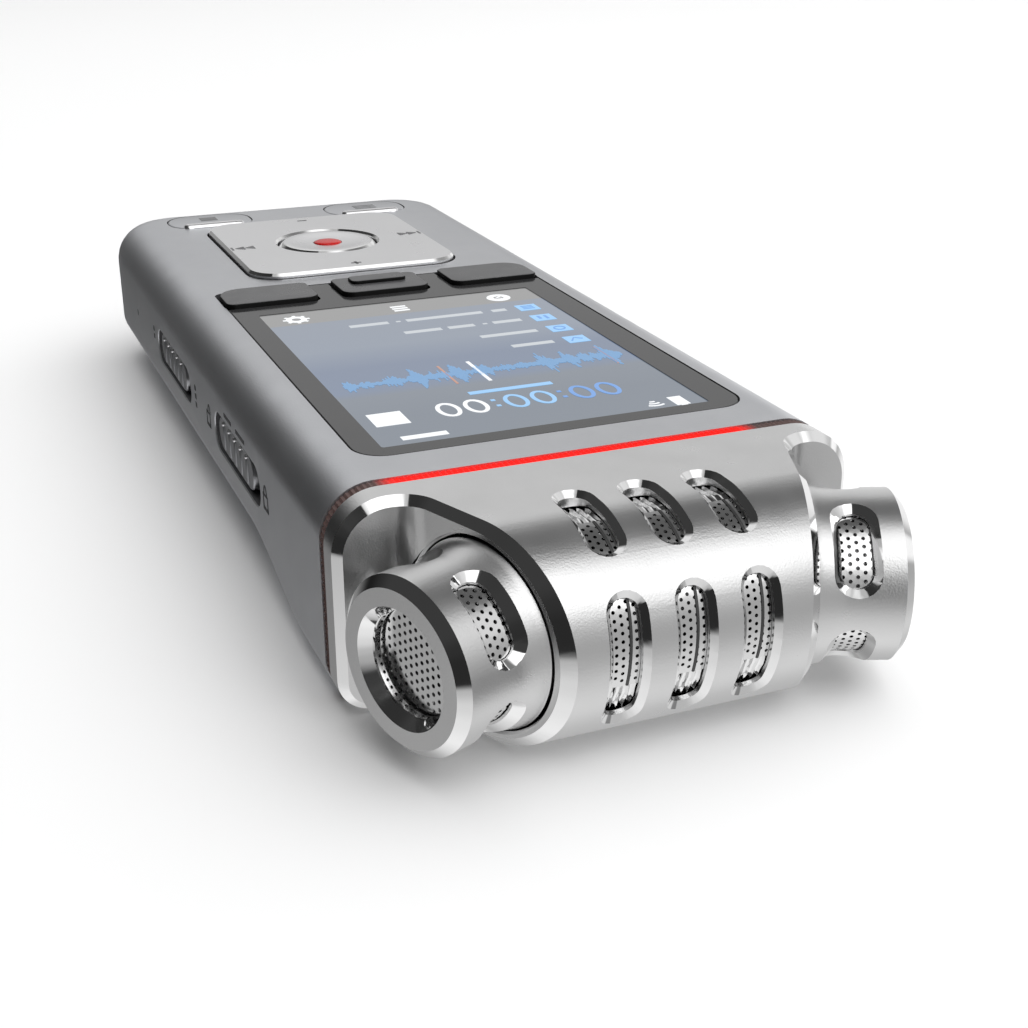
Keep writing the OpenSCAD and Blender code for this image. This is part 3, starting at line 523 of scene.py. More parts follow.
screen_z = TOP - 0.09
puck("screen_picture_plate", (LCD[0] - 0.2, LCD[1] + 0.2, LCD[2] - 0.2, LCD[3] + 0.2), 0.3,
    [(screen_z - 0.5, 0, 0), (screen_z, 0, 0)], ["picture"])

GLOW = ["white", "soft_white", "sky", "blue", "wave", "orange", "ink", "ink_light"]
art_v, art_f, art_i = [], [], []


def sheet(points_l, points_r, mat, z=None, closed=False, t=0.03):
    """A thin raised strip between two point lists, in screen artwork units."""
    z0 = (screen_z if z is None else z) - 0.01
    z1 = z0 + 0.01 + t
    n = len(points_l)
    base = len(art_v)
    m = GLOW.index(mat)
    for zz in (z0, z1):
        art_v.extend((x, y, zz) for x, y in points_l)
        art_v.extend((x, y, zz) for x, y in points_r)
    lb, rb, lt, rt = base, base + n, base + 2 * n, base + 3 * n
    last = n if closed else n - 1
    for i in range(last):
        j = (i + 1) % n
        for q in ((lt + i, lt + j, rt + j, rt + i), (lb + j, lb + i, rb + i, rb + j),
                (lb + i, lb + j, lt + j, lt + i), (rb + j, rb + i, rt + i, rt + j)):
            art_f.append(q)
            art_i.append(m)
    if not closed:
        for q in ((lb, lt, rt, rb), (lt + n - 1, lb + n - 1, rb + n - 1, rt + n - 1)):
            art_f.append(q)
            art_i.append(m)


def place(p):
    """Artwork units to mm on the screen."""
    return (p[0] * 0.9524 - 0.15, p[1] * 0.9524 + 0.05)


def stroke(points, w, mat, closed=False, mapped=True, z=None):
    pts = [place(p) for p in points] if mapped else list(points)
    n = len(pts)
    left, right = [], []
    for i in range(n):
        a = pts[(i - 1) % n] if closed or i > 0 else pts[i]
        c = pts[(i + 1) % n] if closed or i < n - 1 else pts[i]
        dx, dy = c[0] - a[0], c[1] - a[1]
        q = math.hypot(dx, dy) or 1.0
        nx, ny = -dy / q * w / 2, dx / q * w / 2
        left.append((pts[i][0] + nx, pts[i][1] + ny))
        right.append((pts[i][0] - nx, pts[i][1] - ny))
    sheet(left, right, mat, z, closed)


def arc(cx, cy, rx, ry, a0, a1, n=10):
    return [(cx + rx * math.cos(math.radians(a0 + (a1 - a0) * i / n)),
        cy + ry * math.sin(math.radians(a0 + (a1 - a0) * i / n))) for i in range(n + 1)]


# The counter shows zeros only; every other line of print is a plain bar.
DIGITS = {"0": ([arc(.3, .5, .26, .47, 0, 345, 22)], True),
    ":": ([[(.10, .18), (.10, .30)], [(.10, .62), (.10, .74)]], False)}


def digits(text, x, y, h, w, mats):
    """Digits read from the far end of the recorder towards its head, x to the right."""
    for ch, mat in zip(text, mats):
        paths, closed = DIGITS[ch]
        for p in paths:
            stroke([(x + a * h, y + c * h) for a, c in p], w, mat, closed)
        x += h * ((0.20 if ch == ":" else 0.6) + 0.16)


def bar(x0, x1, y, h, mat):
    stroke([(x0, y), (x1, y)], h * 0.95, mat)


digits("00:00:00", -9.6, -15.9, 3.6, 0.40, ["blue", "blue", "blue", "sky", "sky", "sky", "white", "white"])
bar(-4.2, 4.4, -17.7, 0.8, "sky")
bar(9.9, 14.2, -8.5, 0.9, "white")
stroke([(13.7, -12.1), (13.7, -15.5)], 3.1, "white")
stroke([(-13.1, -7.2), (-13.1, -9.5)], 1.3, "white")
stroke([(-13.1, -6.95), (-13.1, -7.25)], 0.6, "white")
for k in range(3):
    stroke(arc(-10.6, -9.4, 0.5 + 0.55 * k, 0.5 + 0.55 * k, 60, 120, 6), 0.22, "white")
icon_z = screen_z + 0.03
spike = 7.0
for k in range(178):
    x = -14.6 + 29.4 * k / 177
    spike = (spike * 16.807 + 3.1) % 9.7
    env = (0.25 + abs(math.sin(x * 0.95 + 1.3)) * (0.5 + 0.5 * math.sin(x * 2.7))) * (
        0.45 + 0.55 * abs(math.sin(x * 0.21 + 0.5)))
    a = 0.12 + 3.3 * env * (0.35 + 0.65 * spike / 9.7)
    stroke([(x, -23.8 - a), (x, -23.8 + a * (0.7 + 0.03 * spike))], 0.13, "wave")
for x in (-13.0, 4.3):
    stroke([(x, -20.9), (x, -26.8)], 0.22, "orange")
stroke([(1.0, -20.6), (1.0, -27.1)], 0.34, "white")
for y in (-30.1, -34.5, -39.0, -43.4):
    stroke([(-12.5, y + 1.15), (-12.5, y - 1.15)], 2.3, "sky")
stroke([(-13.2, -30.0), (-12.4, -30.6), (-11.8, -29.6)], 0.2, "blue", z=icon_z)
stroke(arc(-12.5, -34.5, 0.6, 0.6, 0, 330, 12), 0.2, "blue", True, z=icon_z)
stroke([(-12.9, -38.4), (-12.9, -39.6)], 0.3, "blue", z=icon_z)
stroke([(-12.1, -38.6), (-12.1, -39.6)], 0.3, "blue", z=icon_z)
for k in range(3):
    stroke([(-13.2, -42.9 - 0.5 * k), (-11.8, -42.9 - 0.5 * k)], 0.16, "blue", z=icon_z)
for x0, x1, y, h in ((-9.9, -5.2, -30.2, 0.9), (-9.9, -3.4, -34.6, 0.9), (-9.9, -6.6, -39.1, 0.9),
                     (-5.9, -5.4, -39.1, 0.4), (-4.4, -1.4, -39.1, 0.9), (-0.6, 3.6, -39.1, 0.9),
                     (-9.9, -8.2, -43.5, 0.9), (-7.0, 1.9, -43.5, 0.9), (2.6, 3.1, -43.5, 0.4),
                     (4.0, 8.4, -43.5, 0.9)):
    bar(x0, x1, y, h, "soft_white")
stroke(arc(-11.0, -48.5, 1.0, 1.0, 0, 345, 20), 0.75, "white", True)
stroke([(-11.3, -48.1), (-10.7, -48.5), (-11.3, -48.9)], 0.2, "white")
for y in (-47.7, -48.5, -49.3):
    bar(0.1, 1.9, y, 0.42, "white")
stroke(arc(13.0, -48.5, 0.85, 0.85, 0, 345, 20), 0.6, "white", True)
for k in range(8):
    a = PI * k / 4
    stroke([(13.0 + 1.0 * math.cos(a), -48.5 + 1.0 * math.sin(a)),
        (13.0 + 1.5 * math.cos(a), -48.5 + 1.5 * math.sin(a))], 0.34, "white")
put("screen_artwork", art_v, art_f, GLOW, art_i, "case", angle=20)

# -------------------- keys
# the sides of each cap take the near-black side material as painted shade, the top takes the key plastic
for (x0, x1), node, r in zip(SOFT, ("soft_key_left", "soft_key_middle", "soft_key_right"),
        ((0.9, 1.4, 1.0, 2.8), (0.9, 1.4, 1.4, 0.9), (2.8, 1.0, 1.4, 0.9))):
    puck(node + "_cap", (x0, x1, SOFT_FAR, SOFT_NEAR), r,
        [(KEY_FOOT, 0, 1), (TOP + 0.34, 0, 1), (TOP + 0.43, 0.08, 0), (TOP + 0.46, 0.25, 0)], ["dark", "side"],
        body=node, replace=[node], angle=50)
# the pad's sides also take the near-black side material as painted shade
puck("soft_key_middle_pad", (-3.2, 3.2, -58.0, -55.5), 0.7,
    [(TOP + 0.3, 0, 1), (TOP + 0.74, 0, 1), (TOP + 0.81, 0.06, 0), (TOP + 0.84, 0.2, 0)], ["dark", "side"],
    body="soft_key_middle", angle=50)

MID = -(62.4 + 91.4) / 2
PAD = TOP + 0.6
at_pad = Matrix.Translation((0, MID, 0))
pad = puck("nav_pad_plate", (-12.6, 12.6, -91.1, -62.7), 3.7, [(17.2, 0, 0), (PAD - 0.30, 0, 1), (PAD, 0.30, 0)],
    ["silver", "polish"], keep=True, n=12)
hp = [(6.2, 10), (6.2, PAD - 0.25), (6.5, PAD + 0.05), (6.5, 25), (0, 25), (0, 10)]
lugs = [prism("lug", rrect(min(s * 6.9, s * 9.6), max(s * 6.9, s * 9.6), MID - 1.6, MID + 1.6, 0.2), 10, 18.5,
    ["silver", "polish"]) for s in (1, -1)]
combine(pad, bare("bore", lathe(hp, [0, 1, 1, 0, 0, 0], 96), ["silver", "polish"], at_pad), *lugs)
finish(pad, 20, "nav_pad", ["nav_pad"])
rp = [(0, 17.2), (6.0, 17.2), (6.0, PAD - 0.50), (5.5, PAD - 0.03), (5.35, PAD), (4.5, PAD - 0.02), (3.5, PAD - 0.14),
    (2.4, PAD - 0.2), (1.78, PAD - 0.21), (1.74, PAD - 0.6), (0, PAD - 0.6)]
v, f, idx = lathe(rp, [0, 0, 1, 1] + [0] * 7)
put("record_button_cap", v, f, ["silver", "polish"], idx, "record_button", ["record_button"], angle=22,
    matrix=at_pad)
dp = [(0, PAD - 0.58), (1.7, PAD - 0.58), (1.7, PAD - 0.22), (1.6, PAD - 0.10), (1.3, PAD - 0.02), (0.8, PAD + 0.03),
    (0, PAD + 0.05)]
v, f, idx = lathe(dp, [0] * 7, 48)
put("record_dot_lens", v, f, ["dot"], idx, "record_button", ["record_dot"], angle=50, matrix=at_pad)


def marks(name, strokes, z, body, matrix=None, mat="ink"):
    """Printed marks as thin raised ink."""
    global art_v, art_f, art_i
    art_v, art_f, art_i = [], [], []
    for pts, w, closed in strokes:
        stroke(pts, w, mat, closed, False, z)
    put(name, art_v, art_f, GLOW, art_i, body, angle=20, matrix=matrix)


def triangle(x, y, s, d):
    """A filled triangle drawn as a tapering fan of strokes."""
    return [([(x + d * s * k / 5, y - s * 0.6 * (1 - k / 5)), (x + d * s * k / 5, y + s * 0.6 * (1 - k / 5) + 0.02)],
        s / 4.5, False) for k in range(5)]


nav = []
for d in (-1, 1):
    nav += triangle(d * 9.4, MID, 1.1, d) + triangle(d * 10.6, MID, 1.1, d)
    nav += [([(d * 12.0, MID - 0.66), (d * 12.0, MID + 0.66)], 0.25, False)]
marks("nav_marks", nav, PAD, "nav_pad", mat="ink_light")
marks("nav_marks_small", [([(-0.6, MID + 12.2), (0.6, MID + 12.2)], 0.3, False),
    ([(0, MID + 11.6), (0, MID + 12.8)], 0.3, False), ([(-0.6, MID - 12.2), (0.6, MID - 12.2)], 0.3, False)], PAD,
    "nav_pad", mat="ink_light")

for (x0, x1), node in zip(LOW, ("menu_button", "stop_button")):
    puck(node + "_cap", (x0, x1, LOW_FAR, LOW_NEAR), 3.3,
        [(KEY_FOOT, 0, 0), (TOP - 0.15, 0, 0), (TOP + 0.02, 0.18, 0), (TOP + 0.06, 0.4, 0)], ["body"], body=node,
        replace=[node], n=12, angle=50)
    puck(node + "_lip", (x0 + 1.5, x1 - 1.5, -94.1, -92.6), 0.7,
        [(TOP - 0.1, 0, 0), (TOP + 0.28, 0.12, 0), (TOP + 0.42, 0.32, 0), (TOP + 0.45, 0.5, 0)], ["silver"],
        body=node, angle=60)
marks("stop_mark", [([(9.6, -97.2), (11.8, -97.2)], 2.0, False)], TOP + 0.05, "stop_button",
    mat="ink_light")
marks("menu_mark", [([(-12.4, -96.0 - 0.8 * k), (-9.4, -96.0 - 0.8 * k)], 0.36, False) for k in range(3)], TOP + 0.05,
    "menu_button", mat="ink_light")

# -------------------- slide knobs and side marks
for y, node in zip(SLOT_Y, ("hold_slider", "mode_slider")):
    yk = y - 1.3
    o0 = obround(14.6, 3.5, 2)
    rg = [[(a, b_, 21.9) for a, b_ in o0], [(a, b_, 22.62) for a, b_ in o0],
        [(a * 0.985, b_ * 0.93, 22.76) for a, b_ in o0]]
    v, f, idx = loft(rg)
    put(node + "_base", v, f, ["knob"], idx, node, [node], 40, side_matrix(yk, SLOT_Z))
    v, f, idx = [], [], []
    for k in range(-2, 3):
        prof = [(-0.62, 22.7), (-0.40, 22.82), (-0.16, 22.89), (0.10, 22.90), (0.26, 22.84), (0.36, 22.7)]
        ribs = [[(2.4 * k + a, t, 22.7 + (c - 22.7) * hgt) for a, c in prof] for t,
            hgt in ((-1.5, 0.25), (-1.4, 0.75), (-1.2, 1), (1.0, 1), (1.25, 0.5), (1.32, 0.2))]
        # a bright silver bead at each rib's upper end: a painted highlight on the knob paint
        glint_bead = [[(2.4 * k + r_ * math.cos(PI * i / 6), 1.28 + r_ * math.sin(PI * i / 6),
            z_) for i in range(12)] for r_, z_ in ((0.26, 22.6), (0.26, 22.84), (0.20, 22.92), (0.10, 22.96))]
        for rows, m_ in ((ribs, 0), (glint_bead, 1)):
            idx += [m_] * extend(v, f, rows)
    put(node + "_ribs_and_glints", v, f, ["knob", "silver"], idx, node, (), 40, side_matrix(yk, SLOT_Z))

side = []
for y, closed_lock in ((-42.0, False), (-18.0, True)):
    side.append(([(y - 0.9, -0.9), (y + 0.9, -0.9)], 0.35, False))
    side.append(([(y - 0.75, -0.9), (y - 0.75, 0.45), (y + 0.75, 0.45), (y + 0.75, -0.9)], 0.3, False))
    side.append((arc(y + (0 if closed_lock else 0.45), 0.45, 0.5, 0.9, 0, 180, 8), 0.24, False))
for y, rows_ in ((-72.4, 2), (-48.4, 3)):
    side += [([(y - 0.3, 1.1 - 0.95 * k), (y + 0.3, 1.1 - 0.95 * k)], 0.55, False) for k in range(rows_)]
side += [([(-34.0, 2.8), (-31.0, 2.8)], 0.4, False), ([(-29.0, 2.8), (-25.5, 2.8)], 0.4, False)]
marks("side_marks", side, 23.0, "case", side_matrix(0, SLOT_Z))

# -------------------- light ring
ring_mat, nt, b = new_material("ring_light")
where = add(nt, "ShaderNodeTexCoord").outputs["Object"]
split = add(nt, "ShaderNodeSeparateXYZ", wires={"Vector": where}).outputs
moved = add(nt, "ShaderNodeMath", {1: 0.0015}, {0: split["X"]}, operation="SUBTRACT")
across = add(nt, "ShaderNodeMath", wires={0: moved.outputs[0]}, operation="ABSOLUTE")
lit_x = add(nt, "ShaderNodeMapRange", {"From Min": 0.0172, "From Max": 0.0148}, {"Value": across.outputs[0]},
            interpolation_type="SMOOTHSTEP")
lit_z = add(nt, "ShaderNodeMapRange", {"From Min": 0.0165, "From Max": 0.0178}, {"Value": split["Z"]},
            interpolation_type="SMOOTHSTEP")
lit = add(nt, "ShaderNodeMath", wires={0: lit_x.outputs["Result"], 1: lit_z.outputs["Result"]}, operation="MULTIPLY")
for key, off, on in (("Base Color", (0.115, 0.075, 0.07, 1), (0.30, 0.008, 0.004, 1)),
                     ("Emission Color", (0, 0, 0, 1), (1.15, 0.004, 0.002, 1))):
    mixed = add(nt, "ShaderNodeMix", {"A": off, "B": on}, {"Factor": lit.outputs[0]}, data_type="RGBA")
    nt.links.new(mixed.outputs["Result"], b[key])
no = add(nt, "ShaderNodeTexNoise", {"Scale": 900}, {"Vector": where})
rr = add(nt, "ShaderNodeMapRange", {"To Min": 0.18, "To Max": 0.32}, {"Value": no.outputs["Fac"]})
nt.links.new(rr.outputs["Result"], b["Roughness"])
b["Emission Strength"].default_value = 0.85
b["Specular IOR Level"].default_value = 0.04
M["ring"] = ring_mat


def section_path(w, z0, z1, rt, rb, step):
    """Cross-section outline in x, z with points about step apart and outward normals."""
    hw = w / 2
    segs = []

    def line(p, q, nrm):
        k = max(2, int(math.hypot(q[0] - p[0], q[1] - p[1]) / step))
        for i in range(k):
            segs.append((p[0] + (q[0] - p[0]) * i / k, p[1] + (q[1] - p[1]) * i / k, nrm[0], nrm[1]))

    def corner(cx, cz, r, a0, a1):
        k = max(4, int(abs(math.radians(a1 - a0)) * r / step))
        for i in range(k):
            a = math.radians(a0 + (a1 - a0) * i / k)
            segs.append((cx + r * math.cos(a), cz + r * math.sin(a), math.cos(a), math.sin(a)))
    line((-hw + rb, z0), (hw - rb, z0), (0, -1))
    corner(hw - rb, z0 + rb, rb, -90, 0)
    line((hw, z0 + rb), (hw, z1 - rt), (1, 0))
    corner(hw - rt, z1 - rt, rt, 0, 90)
    line((hw - rt, z1), (-hw + rt, z1), (0, 1))
    corner(-hw + rt, z1 - rt, rt, 90, 180)
    line((-hw, z1 - rt), (-hw, z0 + rb), (-1, 0))
    corner(-hw + rb, z0 + rb, rb, 180, 270)
    return segs


path = section_path(45.9, 0.05, TOP - 0.05, R_FACE, R_FOOT, 0.24)
rings = []
for y, d in ((0.06, 0.10), (0.16, 0.0), (1.14, 0.0), (1.24, 0.10)):
    rings.append([(x - nx * (d + (0.09 if k % 2 else 0.0)), y, z - nz * (d + (0.09 if k % 2 else 0.0))) for k,
        (x, z, nx, nz) in enumerate(path)])
for y in (1.24, 0.06):
    rings.append([(x - nx * 1.8, y, z - nz * 1.8) for x, z, nx, nz in path])
v, f, idx = loft(rings + [rings[0]], cap0=False, cap1=False)
put("light_ring_guide", v, f, ["ring"], idx, "case", ["light_ring"], angle=15)

# -------------------- microphone head
HEAD = ["alu", "polish", "alu", "bore"]


def head_solid():
    """Lofted across X: the shoulder block and the full-round nose in one profile."""
    arc_n = 72
    prof = [(1.3, 0), (3.2, 0), (4.7, 0), (7.6, 0)]
    prof += [(Y_B + R_B * math.sin(PI - PI * i / arc_n),
        R_B + R_B * math.cos(PI - PI * i / arc_n)) for i in range(arc_n + 1)]
    prof += [(7.6, TOP), (4.7, TOP), (3.2, TOP), (1.3, TOP)]
    stations = []
    for i in range(13):
        a = math.radians(90 * i / 12)
        x = HALF - R_FACE + R_FACE * math.sin(a)
        zt = TOP - R_FACE * (1 - math.cos(a))
        t = max(0.0, x - (HALF - R_FOOT))
        zb = R_FOOT - math.sqrt(max(0.0, R_FOOT ** 2 - t * t))
        stations.append((x, zt, zb))
    st = [(-x, zt, zb) for x, zt, zb in reversed(stations)] + [(-9, TOP, 0), (9, TOP, 0)] + stations
    rings = [[(x, y, min(max(z, zb), zt)) for y, z in prof] for x, zt, zb in st]
    return loft(rings)


head = bare("head", head_solid(), HEAD)
end_x, end_y = CAN_X - CAN_L * math.cos(TILT), CAN_Y - CAN_L * math.sin(TILT)
SH, PR = 4.1, 2.5                                  # shoulder face, radius of the pocket's fillet
arc_y = SH + PR
arc_x = (end_x * math.cos(TILT) + end_y * math.sin(TILT) + PR - arc_y * math.sin(TILT)) / math.cos(TILT)
half_at = end_x - (Y_B - end_y) * math.tan(TILT)
cuts = []
for s in (1, -1):
    pts = [(30, SH), (30, 26), (half_at - (26 - Y_B) * math.tan(TILT), 26)]
    pts += [(arc_x + PR * math.cos(math.radians(a)),
        arc_y + PR * math.sin(math.radians(a)))
            for a in [-(180 - math.degrees(TILT)) + (90 - math.degrees(TILT)) * i / 12 for i in range(13)]]
    pts = [(s * x, y) for x, y in pts]
    if s < 0:
        pts.reverse()
    cuts.append(prism("pocket", pts, -6, 26, HEAD, 2))


def collar(s, c, e=0.35, over=0.12):
    """Triangular sweep along the pocket's whole rim that cuts its bright chamfer."""
    rows = []

    def add(a_, b_, o_):
        a_, b_, o_ = Vector(a_), Vector(b_), Vector(o_)
        d = (b_ - a_).normalized() * over
        rows.append([p if s > 0 else Vector((-p.x, p.y, p.z)) for p in (a_ - d, b_ + d, o_)])

    def wall_x(y):
        return end_x - (y - end_y) * math.tan(TILT)

    def flat(top, pts):
        z, u = (TOP, 1) if top else (0.0, -1)
        for (x, y), (nx, ny) in pts:
            add((x, y, z - u * c), (x + nx * c, y + ny * c, z), (x - nx * e, y - ny * e, z + u * e))
    fillet = []
    for i in range(13):
        t = -(180 - math.degrees(TILT)) + (90 - math.degrees(TILT)) * i / 12
        q = (math.cos(math.radians(t)), math.sin(math.radians(t)))
        fillet.append(((arc_x + PR * q[0], arc_y + PR * q[1]), q))
    f0 = fillet[0][0]
    nw = fillet[0][1]
    run = [((wall_x(f0[1] + (Y_B - f0[1]) * k / 5), f0[1] + (Y_B - f0[1]) * k / 5), nw) for k in range(4, 0, -1)]
    run = run + fillet
    x1 = fillet[-1][0][0]
    run += [((x1 + (HALF - R_FACE - x1) * k / 3, SH), (0, -1)) for k in (1, 2)] if HALF - R_FACE > x1 else []
    flat(True, run)
    for cx, cz, r, a0, a1, n in ((HALF - R_FACE, TOP - R_FACE, R_FACE, 90, 0, 14),
                                 (HALF - R_FOOT, R_FOOT, R_FOOT, 0, -90, 12)):
        for i in range(n + 1):
            t = math.radians(a0 + (a1 - a0) * i / n)
            q = (math.cos(t), math.sin(t))
            if cx + r * q[0] > x1 + 0.05:
                add((cx + (r - c) * q[0], SH, cz + (r - c) * q[1]), (cx + r * q[0], SH - c, cz + r * q[1]),
                    (cx + (r + e) * q[0], SH + e, cz + (r + e) * q[1]))
    low_run = list(reversed(run[:4 + 13]))
    flat(False, low_run)
    n = 72
    for i in range(n + 1):
        t = PI - PI * i / n
        ya, yb, yo = (Y_B + q * math.sin(t) for q in (R_B - c, R_B, R_B + e))
        add((wall_x(ya), ya, R_B + (R_B - c) * math.cos(t)),
            (wall_x(yb) - c / math.cos(TILT), yb, R_B + R_B * math.cos(t)),
            (wall_x(yo) + e, yo, R_B + (R_B + e) * math.cos(t)))
    v, f, idx = loft([list(q) for q in rows] + [list(rows[0])], [1] * len(rows), False, False)
    return v, f, idx


for s in (1, -1):
    cuts.append(bare("collar", collar(s, 0.72), HEAD))


def barrel_point(s, d):
    if s < 0:
        return Y_B + s, TOP - d
    a = s / R_B
    return Y_B + (R_B - d) * math.sin(a), R_B + (R_B - d) * math.cos(a)


def barrel_cut(s0, x0, l, w, c):
    rg = []
    for d, grow in ((3.6, 0), (c, 0), (-0.25, c + 0.25)):
        o = obround(l + 2 * grow, w + 2 * grow, (l - w) / 12.001, 10)
        rg.append([(x0 + t, *barrel_point(s0 + s, d)) for s, t in o])
    return ladder(rg, [2, 1], 2, 1)


for i in (-1, 0, 1):
    cuts.append(bare("w", barrel_cut(1.5, 5.5 * i, 8.04, 2.4, 0.48), HEAD))
    cuts.append(bare("w", barrel_cut(14.73, 5.5 * i, 11.2, 2.4, 0.48), HEAD))
rot_x = Matrix.Rotation(PI / 2, 4, "Y")
MESH_R = 8.15
cuts.append(bare("bore", lathe([(0, -12.6), (7.7, -12.6), (7.7, -9.2), (MESH_R + 0.12, -9.2), (MESH_R + 0.12, 9.2),
    (7.7, 9.2), (7.7, 12.6), (0, 12.6)], [3] * 8, 96), HEAD, Matrix.Translation((0, Y_B, R_B)) @ rot_x))


def can_matrix(s):
    a = TILT if s > 0 else PI - TILT
    return Matrix.Translation((s * CAN_X, CAN_Y, R_B)) @ Matrix.Rotation(a, 4, "Z") @ rot_x


for s in (1, -1):
    cuts.append(bare("seat", lathe([(0, -CAN_L - 2.7), (7.78, -CAN_L - 2.7), (7.78, -CAN_L - 0.2),
        (8.0, -CAN_L + 0.02), (8.0, -CAN_L + 3), (0, -CAN_L + 3)], [3, 3, 1, 3, 3, 3], 96), HEAD, can_matrix(s)))
cuts.append(prism("base", rrect(-10.15, 10.15, 2.25, 8.75, 1.2), -2, 1.1, HEAD, 3))
cuts.append(bare("cables", loft([[(x, y, z) for x, z in ((-7, 4.5), (7, 4.5), (7, 13.7), (-7, 13.7))] for y in (0.5,
    5.5)], [3], cap_mats=(3, 3)), HEAD))
combine(head, *cuts)
finish(head, 24, "case", ["mic_head"])


# -------------------- perforated sheets
def perforated(outline, pitch, r, inside, n=8):
    """Triangles of a flat sheet with hex-spaced round holes; inside(x, y) says where a hole may be."""
    pts = [Vector(p) for p in outline]
    m = len(pts)
    edges = [(i, (i + 1) % m) for i in range(m)]
    xs, ys = [p[0] for p in outline], [p[1] for p in outline]
    holes = []
    row = 0
    y = min(ys) + pitch * 0.7
    while y < max(ys):
        x = min(xs) + pitch * (0.7 if row % 2 else 1.2)
        while x < max(xs):
            if inside(x, y):
                holes.append((x, y))
            x += pitch
        y += pitch * 0.866
        row += 1
    for hx, hy in holes:
        base = len(pts)
        pts += [Vector((hx + r * math.cos(2 * PI * i / n), hy + r * math.sin(2 * PI * i / n))) for i in range(n)]
        edges += [(base + i, base + (i + 1) % n) for i in range(n)]
    out_v, _, out_f, _, _, _ = delaunay_2d_cdt(pts, edges, [], 0, 1e-6)
    cell = {}
    for hx, hy in holes:
        cell.setdefault((int(hx // pitch), int(hy // pitch)), []).append((hx, hy))
    keep = []
    for f in out_f:
        cx = sum(out_v[i].x for i in f) / 3
        cy = sum(out_v[i].y for i in f) / 3
        gx, gy = int(cx // pitch), int(cy // pitch)
        if any((cx - hx) ** 2 + (cy - hy) ** 2 < (r * 0.9) ** 2 for a in (-1, 0, 1) for c in (-1, 0, 1) for hx,
                hy in cell.get((gx + a, gy + c), [])):
            continue
        keep.append(tuple(f))
    return [(p.x, p.y) for p in out_v], keep


def sheet_piece(name, flat, mapping, thick, matrix, replace):
    """Wraps a flat perforated sheet onto its place and gives it thickness."""
    pts, tri = flat
    o = put(name, [mapping(x, y) for x, y in pts], tri, ["mesh"], None, None, matrix=matrix)
    mod = o.modifiers.new("thickness", "SOLIDIFY")
    mod.thickness = thick * MM
    mod.offset = 0
    bake(o)
    finish(o, 35, "case", replace)


def strip_outline(l, w, step=0.6):
    k, q = int(l / step), int(w / step)
    o = [(l * i / k, 0) for i in range(k)] + [(l, w * i / q) for i in range(q)]
    return o + [(l - l * i / k, w) for i in range(k)] + [(0, w - w * i / q) for i in range(q)]


DISC_R, WALL_H = 4.15, 0.85
disc = perforated([(DISC_R * math.cos(2 * PI * i / 72), DISC_R * math.sin(2 * PI * i / 72)) for i in range(72)], 0.70,
    0.18, lambda x, y: math.hypot(x, y) < DISC_R - 0.3)
wall_l = 2 * PI * DISC_R
wall = perforated(strip_outline(wall_l, WALL_H, 0.28), 0.62, 0.15, lambda x,
    y: 0.3 < x < wall_l - 0.3 and 0.2 < y < WALL_H - 0.2)
SLEEVE_R = 6.1
sl_l, sl_w = 2 * PI * SLEEVE_R - 0.1, 7.6
sleeve = perforated(strip_outline(sl_l, sl_w), 0.68, 0.165, lambda x,
    y: 0.4 < x < sl_l - 0.4 and 0.4 < y < sl_w - 0.4)
A0, A1 = math.radians(9), math.radians(106)
ml, mw = MESH_R * (A1 - A0), 17.2
centre = perforated(strip_outline(ml, mw), 0.64, 0.15, lambda x, y: 0.4 < x < ml - 0.4 and 0.4 < y < mw - 0.4)
sheet_piece("barrel_mesh", centre, lambda x, y: (y - 8.6, Y_B + MESH_R * math.sin(A0 + x / MESH_R),
    R_B + MESH_R * math.cos(A0 + x / MESH_R)), 0.16, None, ["centre_mesh"])
seam_v, seam_f = [], []
for i in (-1, 0, 1):
    rows = []
    for k in range(61):
        a = A0 + (A1 - A0) * k / 60
        q = []
        for j in range(6):
            b_ = 2 * PI * j / 6
            rr_ = MESH_R + 0.08 + 0.09 * math.cos(b_)
            q.append((5.5 * i - 0.42 + 0.13 * math.sin(b_) - 0.15 * math.sin(a * 2.2), Y_B + rr_ * math.sin(a),
                R_B + rr_ * math.cos(a)))
        rows.append(q)
    extend(seam_v, seam_f, rows)
put("barrel_mesh_seams", seam_v, seam_f, ["bore"], None, "case", angle=50)

# the ribbed bright cradle that holds the mesh, seen at the ends of the slots
cr_v, cr_f = [], []
for a0, a1 in ((-44, 8.6), (106.4, 152)):
    rows = []
    for k in range(157):
        x = -8.58 + 17.16 * k / 156
        w_ = 2 * abs((x / 0.55) % 1 - 0.5)
        ro = MESH_R - 0.30 + 0.34 * w_ ** 1.5
        q = [(ro + 0.05 * math.sin(j * 1.7 + x * 2.1), math.radians(a0 + (a1 - a0) * j / 14)) for j in range(15)]
        q += [(MESH_R - 1.3, math.radians(a1 - (a1 - a0) * j / 14)) for j in range(15)]
        rows.append([(x, Y_B + r_ * math.sin(t_), R_B + r_ * math.cos(t_)) for r_, t_ in q])
    extend(cr_v, cr_f, rows)
put("mesh_cradle_ribs_and_glints", cr_v, cr_f, ["polish"], None, "case", ["mesh_cradle"], angle=60)

